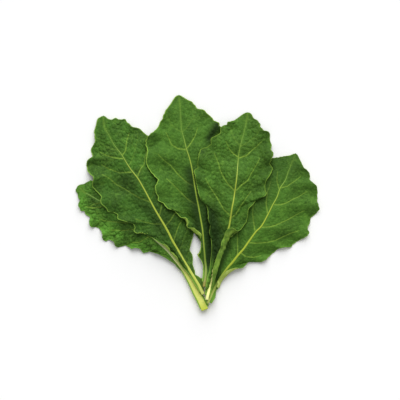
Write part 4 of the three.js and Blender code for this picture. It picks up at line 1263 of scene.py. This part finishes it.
def leaf_upper_side(leaf):
    # The upper side of a kale leaf: deep matt green in soft lighter and darker clouds, with thin
    # yellow-green veins, a faint net, a bright thin rim, and painted shade in its hollows.
    material = new_material(f"kale leaf {leaf['name'][-1]} upper side")
    place = add_node(material, "ShaderNodeTexCoord", {}, {}).outputs["Object"]
    colour = in_clouds(material, place, 30, 2.0, leaf["dark_green"], leaf["light_green"])

    # Coarse and fine mottling, each with darker and lighter patches
    for size, share in ((7, 0.5), (2.4, 0.42)):
        mottle = {"Vector": place, "Scale": per_mm(size), "Detail": 4.0, "Roughness": 0.65}
        mottle = add_node(material, "ShaderNodeTexNoise", {}, mottle).outputs["Fac"]
        for low, high, tint in ((0.5, 0.7, "#25420f"), (0.48, 0.3, "#5f8a31")):
            patch = {"Value": mottle, "From Min": low, "From Max": high}
            patch["To Max"] = share * leaf["mottle"]
            patch = add_node(material, "ShaderNodeMapRange", SMOOTH, patch).outputs["Result"]
            tones = {0: patch, 6: colour, 7: linear(tint)}
            colour = add_node(material, "ShaderNodeMix", COLOURS, tones).outputs[2]

    # The net of the finest veins, bent so that no cell has straight sides
    bend = {"Vector": place, "Scale": per_mm(4), "Detail": 2.0}
    bend = add_node(material, "ShaderNodeTexNoise", {}, bend).outputs["Color"]
    bend = {0: bend, 1: (BENT_BY * MM,) * 3, 2: place}
    bent = add_node(material, "ShaderNodeVectorMath", {"operation": "MULTIPLY_ADD"}, bend).outputs[0]
    net = {"Vector": bent, "Scale": per_mm(3.2)}
    net = add_node(material, "ShaderNodeTexVoronoi", {"feature": "DISTANCE_TO_EDGE"}, net)
    net = {"Value": net.outputs["Distance"], "From Min": 0.1, "From Max": 0.0, "To Max": 0.16}
    net = add_node(material, "ShaderNodeMapRange", SMOOTH, net).outputs["Result"]
    tones = {0: net, 6: colour, 7: linear("#6d9434")}
    colour = add_node(material, "ShaderNodeMix", COLOURS, tones).outputs[2]

    colour = laid_over(material, colour, "branch", (0, 1), 0.2, "#6f9537")
    colour = laid_over(material, colour, "vein", (0, 1), leaf["veins_show"], "#86a83e")
    colour = laid_over(material, colour, "near_rib", (0, 1), 0.2, "#7a9e3a")
    colour = laid_over(material, colour, "wing", (0, 1), leaf["wing_paler"], "#7fae3c")
    # Painted shade: the green taken towards near black-green by the shade attribute, in the hollows and
    # beside the leaves above
    shade = add_node(material, "ShaderNodeAttribute", {"attribute_name": "shade"}, {}).outputs["Fac"]
    tones = {0: shade, 6: colour, 7: linear("#1d3110")}
    colour = add_node(material, "ShaderNodeMix", COLOURS, tones).outputs[2]
    colour = laid_over(material, colour, "from_edge", (1.5, 0.3), leaf["rim_shows"], leaf["rim"])
    grain = {"Vector": place, "Scale": per_mm(1.8), "Detail": 3.0}
    grain = add_node(material, "ShaderNodeTexNoise", {}, grain).outputs["Fac"]
    finish_material(material, colour, grain, bump_mm=1.1, roughness=0.6, specular=0.08)
    return material


def leaf_under_side(leaf):
    # The underside, seen where a margin is rolled over: paler yellow-green with lighter veins.
    material = new_material(f"kale leaf {leaf['name'][-1]} underside")
    place = add_node(material, "ShaderNodeTexCoord", {}, {}).outputs["Object"]
    colour = in_clouds(material, place, 6, 4.0, *leaf["under"])
    colour = laid_over(material, colour, "vein", (0, 1), 0.6, "#b4c66a")
    grain = {"Vector": place, "Scale": per_mm(1.6), "Detail": 3.0}
    grain = add_node(material, "ShaderNodeTexNoise", {}, grain).outputs["Fac"]
    finish_material(material, colour, grain, bump_mm=0.4, roughness=0.65, specular=0.15)
    return material


def stalk_material(leaf):
    # Smooth fleshy stalk: faintly mottled, greener up in the blade and along its flanks, with a cut of
    # its own colour.
    material = new_material(f"kale stalk {leaf['name'][-1]}")
    place = add_node(material, "ShaderNodeTexCoord", {}, {}).outputs["Object"]
    turns = (leaf["pale_until"], leaf["pale_until"] + 0.2)
    colour = laid_over(material, linear(leaf["stalk_pale"]), "along", turns, 1, leaf["rib_colour"])
    colour = laid_over(material, colour, "along", leaf["rib_greens"], 0.75, "#6a9a34")
    colour = laid_over(material, colour, "along", (0.06, 0), 0.8, leaf["cut_end"])
    mottle = {"Vector": place, "Scale": per_mm(1.6), "Detail": 3.0}
    mottle = add_node(material, "ShaderNodeTexNoise", {}, mottle).outputs["Fac"]
    shade = {"Value": mottle, "From Min": 0.45, "From Max": 0.75, "To Max": 0.16}
    shade = add_node(material, "ShaderNodeMapRange", SMOOTH, shade).outputs["Result"]
    tones = {0: shade, 6: colour, 7: linear("#7d9038")}
    colour = add_node(material, "ShaderNodeMix", COLOURS, tones).outputs[2]
    flank = add_node(material, "ShaderNodeAttribute", {"attribute_name": "flank"}, {}).outputs["Fac"]
    tones = {0: flank, 6: colour, 7: linear(leaf["light_green"])}
    colour = add_node(material, "ShaderNodeMix", COLOURS, tones).outputs[2]
    colour = laid_over(material, colour, "cut", (0, 1), 1, leaf["cut_end"])
    finish_material(material, colour, mottle, bump_mm=0.25, roughness=0.45, specular=0.3)
    return material


def white_table():
    # The plain white surface that the bunch lies on.
    material = new_material("white table")
    shader = material.node_tree.nodes["Principled BSDF"]
    shader.inputs["Base Color"].default_value = linear("#f3f3f3")
    shader.inputs["Roughness"].default_value = 0.9
    shader.inputs["Specular IOR Level"].default_value = 0.0
    return material


# The bunch


def plan_shift(leaf):
    """From the tables' places to the frame's, by the solid of this leaf's stalk."""
    low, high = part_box(f"{leaf['name']}_stalk")
    midrib = Midrib(leaf, drape_over(empty_map()))
    share = np.linspace(0, midrib.blade_at(MIDRIB_ENDS_AT), LOOKUPS)
    place = midrib.curve.at(share)
    right = midrib.curve.right_of(share) * midrib.width(share)[:, None] / 2
    points = np.concatenate([place + right, place - right])
    shift_x = high[0] / MM - points[:, 0].max()
    shift_y = low[1] / MM - points[:, 1].min()
    return np.array([shift_x, shift_y, 0])


def lay_leaf(heights, leaf, shift):
    """Make a leaf over those laid so far, and raise their map to its own top."""
    held_at = drape_over(heights)
    midrib = Midrib(leaf, held_at)
    grid, from_edge = blade_grid(leaf, midrib, held_at)
    make_blade(leaf, midrib, grid, from_edge, shift)
    make_stalk(leaf, midrib, shift)
    raise_map(heights, grid.reshape(-1, 3) + (0, 0, SOLID_THICKNESS / 2))
    share = np.linspace(0, 1, CROWN_POINTS)
    place = midrib.curve.at(share)
    right = midrib.curve.right_of(share) * midrib.width(share)[:, None]
    crown = midrib.level(share) + MIDRIB_PROUD + SOLID_THICKNESS / 2
    for across in CROWN_LINES:
        raise_map(heights, np.column_stack([place + right * across, crown]))


def make_bunch():
    heights = empty_map()
    shift = plan_shift(LEAVES_AS_THEY_LIE[0])
    for leaf in LEAVES_AS_THEY_LIE:
        lay_leaf(heights, leaf, shift)
    return shift


# The floor, the light and the camera


def add_floor():
    bpy.ops.mesh.primitive_plane_add(size=FLOOR_SIZE, location=(0, 0, -FLOOR_DROP))
    floor = bpy.context.object
    floor.name = "white_table"
    floor.data.materials.append(white_table())


def add_studio():
    """A soft white room, with one broad window beyond the leaf tips."""
    world = bpy.data.worlds.new("soft white room")
    world.use_nodes = True
    background = world.node_tree.nodes["Background"]
    background.inputs["Color"].default_value = linear("#ffffff")
    background.inputs["Strength"].default_value = ROOM_LIGHT
    bpy.context.scene.world = world
    data = bpy.data.lights.new("window", "SUN")
    data.energy = WINDOW_LIGHT
    data.angle = WINDOW_SPREAD
    light = bpy.data.objects.new("window", data)
    bpy.context.collection.objects.link(light)
    light.location = WINDOW_FROM
    light.rotation_euler = Vector(WINDOW_FROM).to_track_quat("Z", "Y").to_euler()
    bpy.context.scene.view_settings.view_transform = "Standard"


def add_camera(shift):
    """A camera that looks straight down, as one with no turn does."""
    data = bpy.data.cameras.new("camera")
    camera = bpy.data.objects.new("camera", data)
    bpy.context.collection.objects.link(camera)
    data.sensor_width = SENSOR_WIDTH
    data.lens = SENSOR_WIDTH * (CAMERA_HEIGHT - LEAVES_HEIGHT) / FIELD
    x = (PICTURE_CENTRE[0] + shift[0]) * MM
    y = (PICTURE_CENTRE[1] + shift[1]) * MM
    camera.location = (x, y, CAMERA_HEIGHT)
    bpy.context.scene.camera = camera


shift = make_bunch()
add_floor()
add_studio()
add_camera(shift)
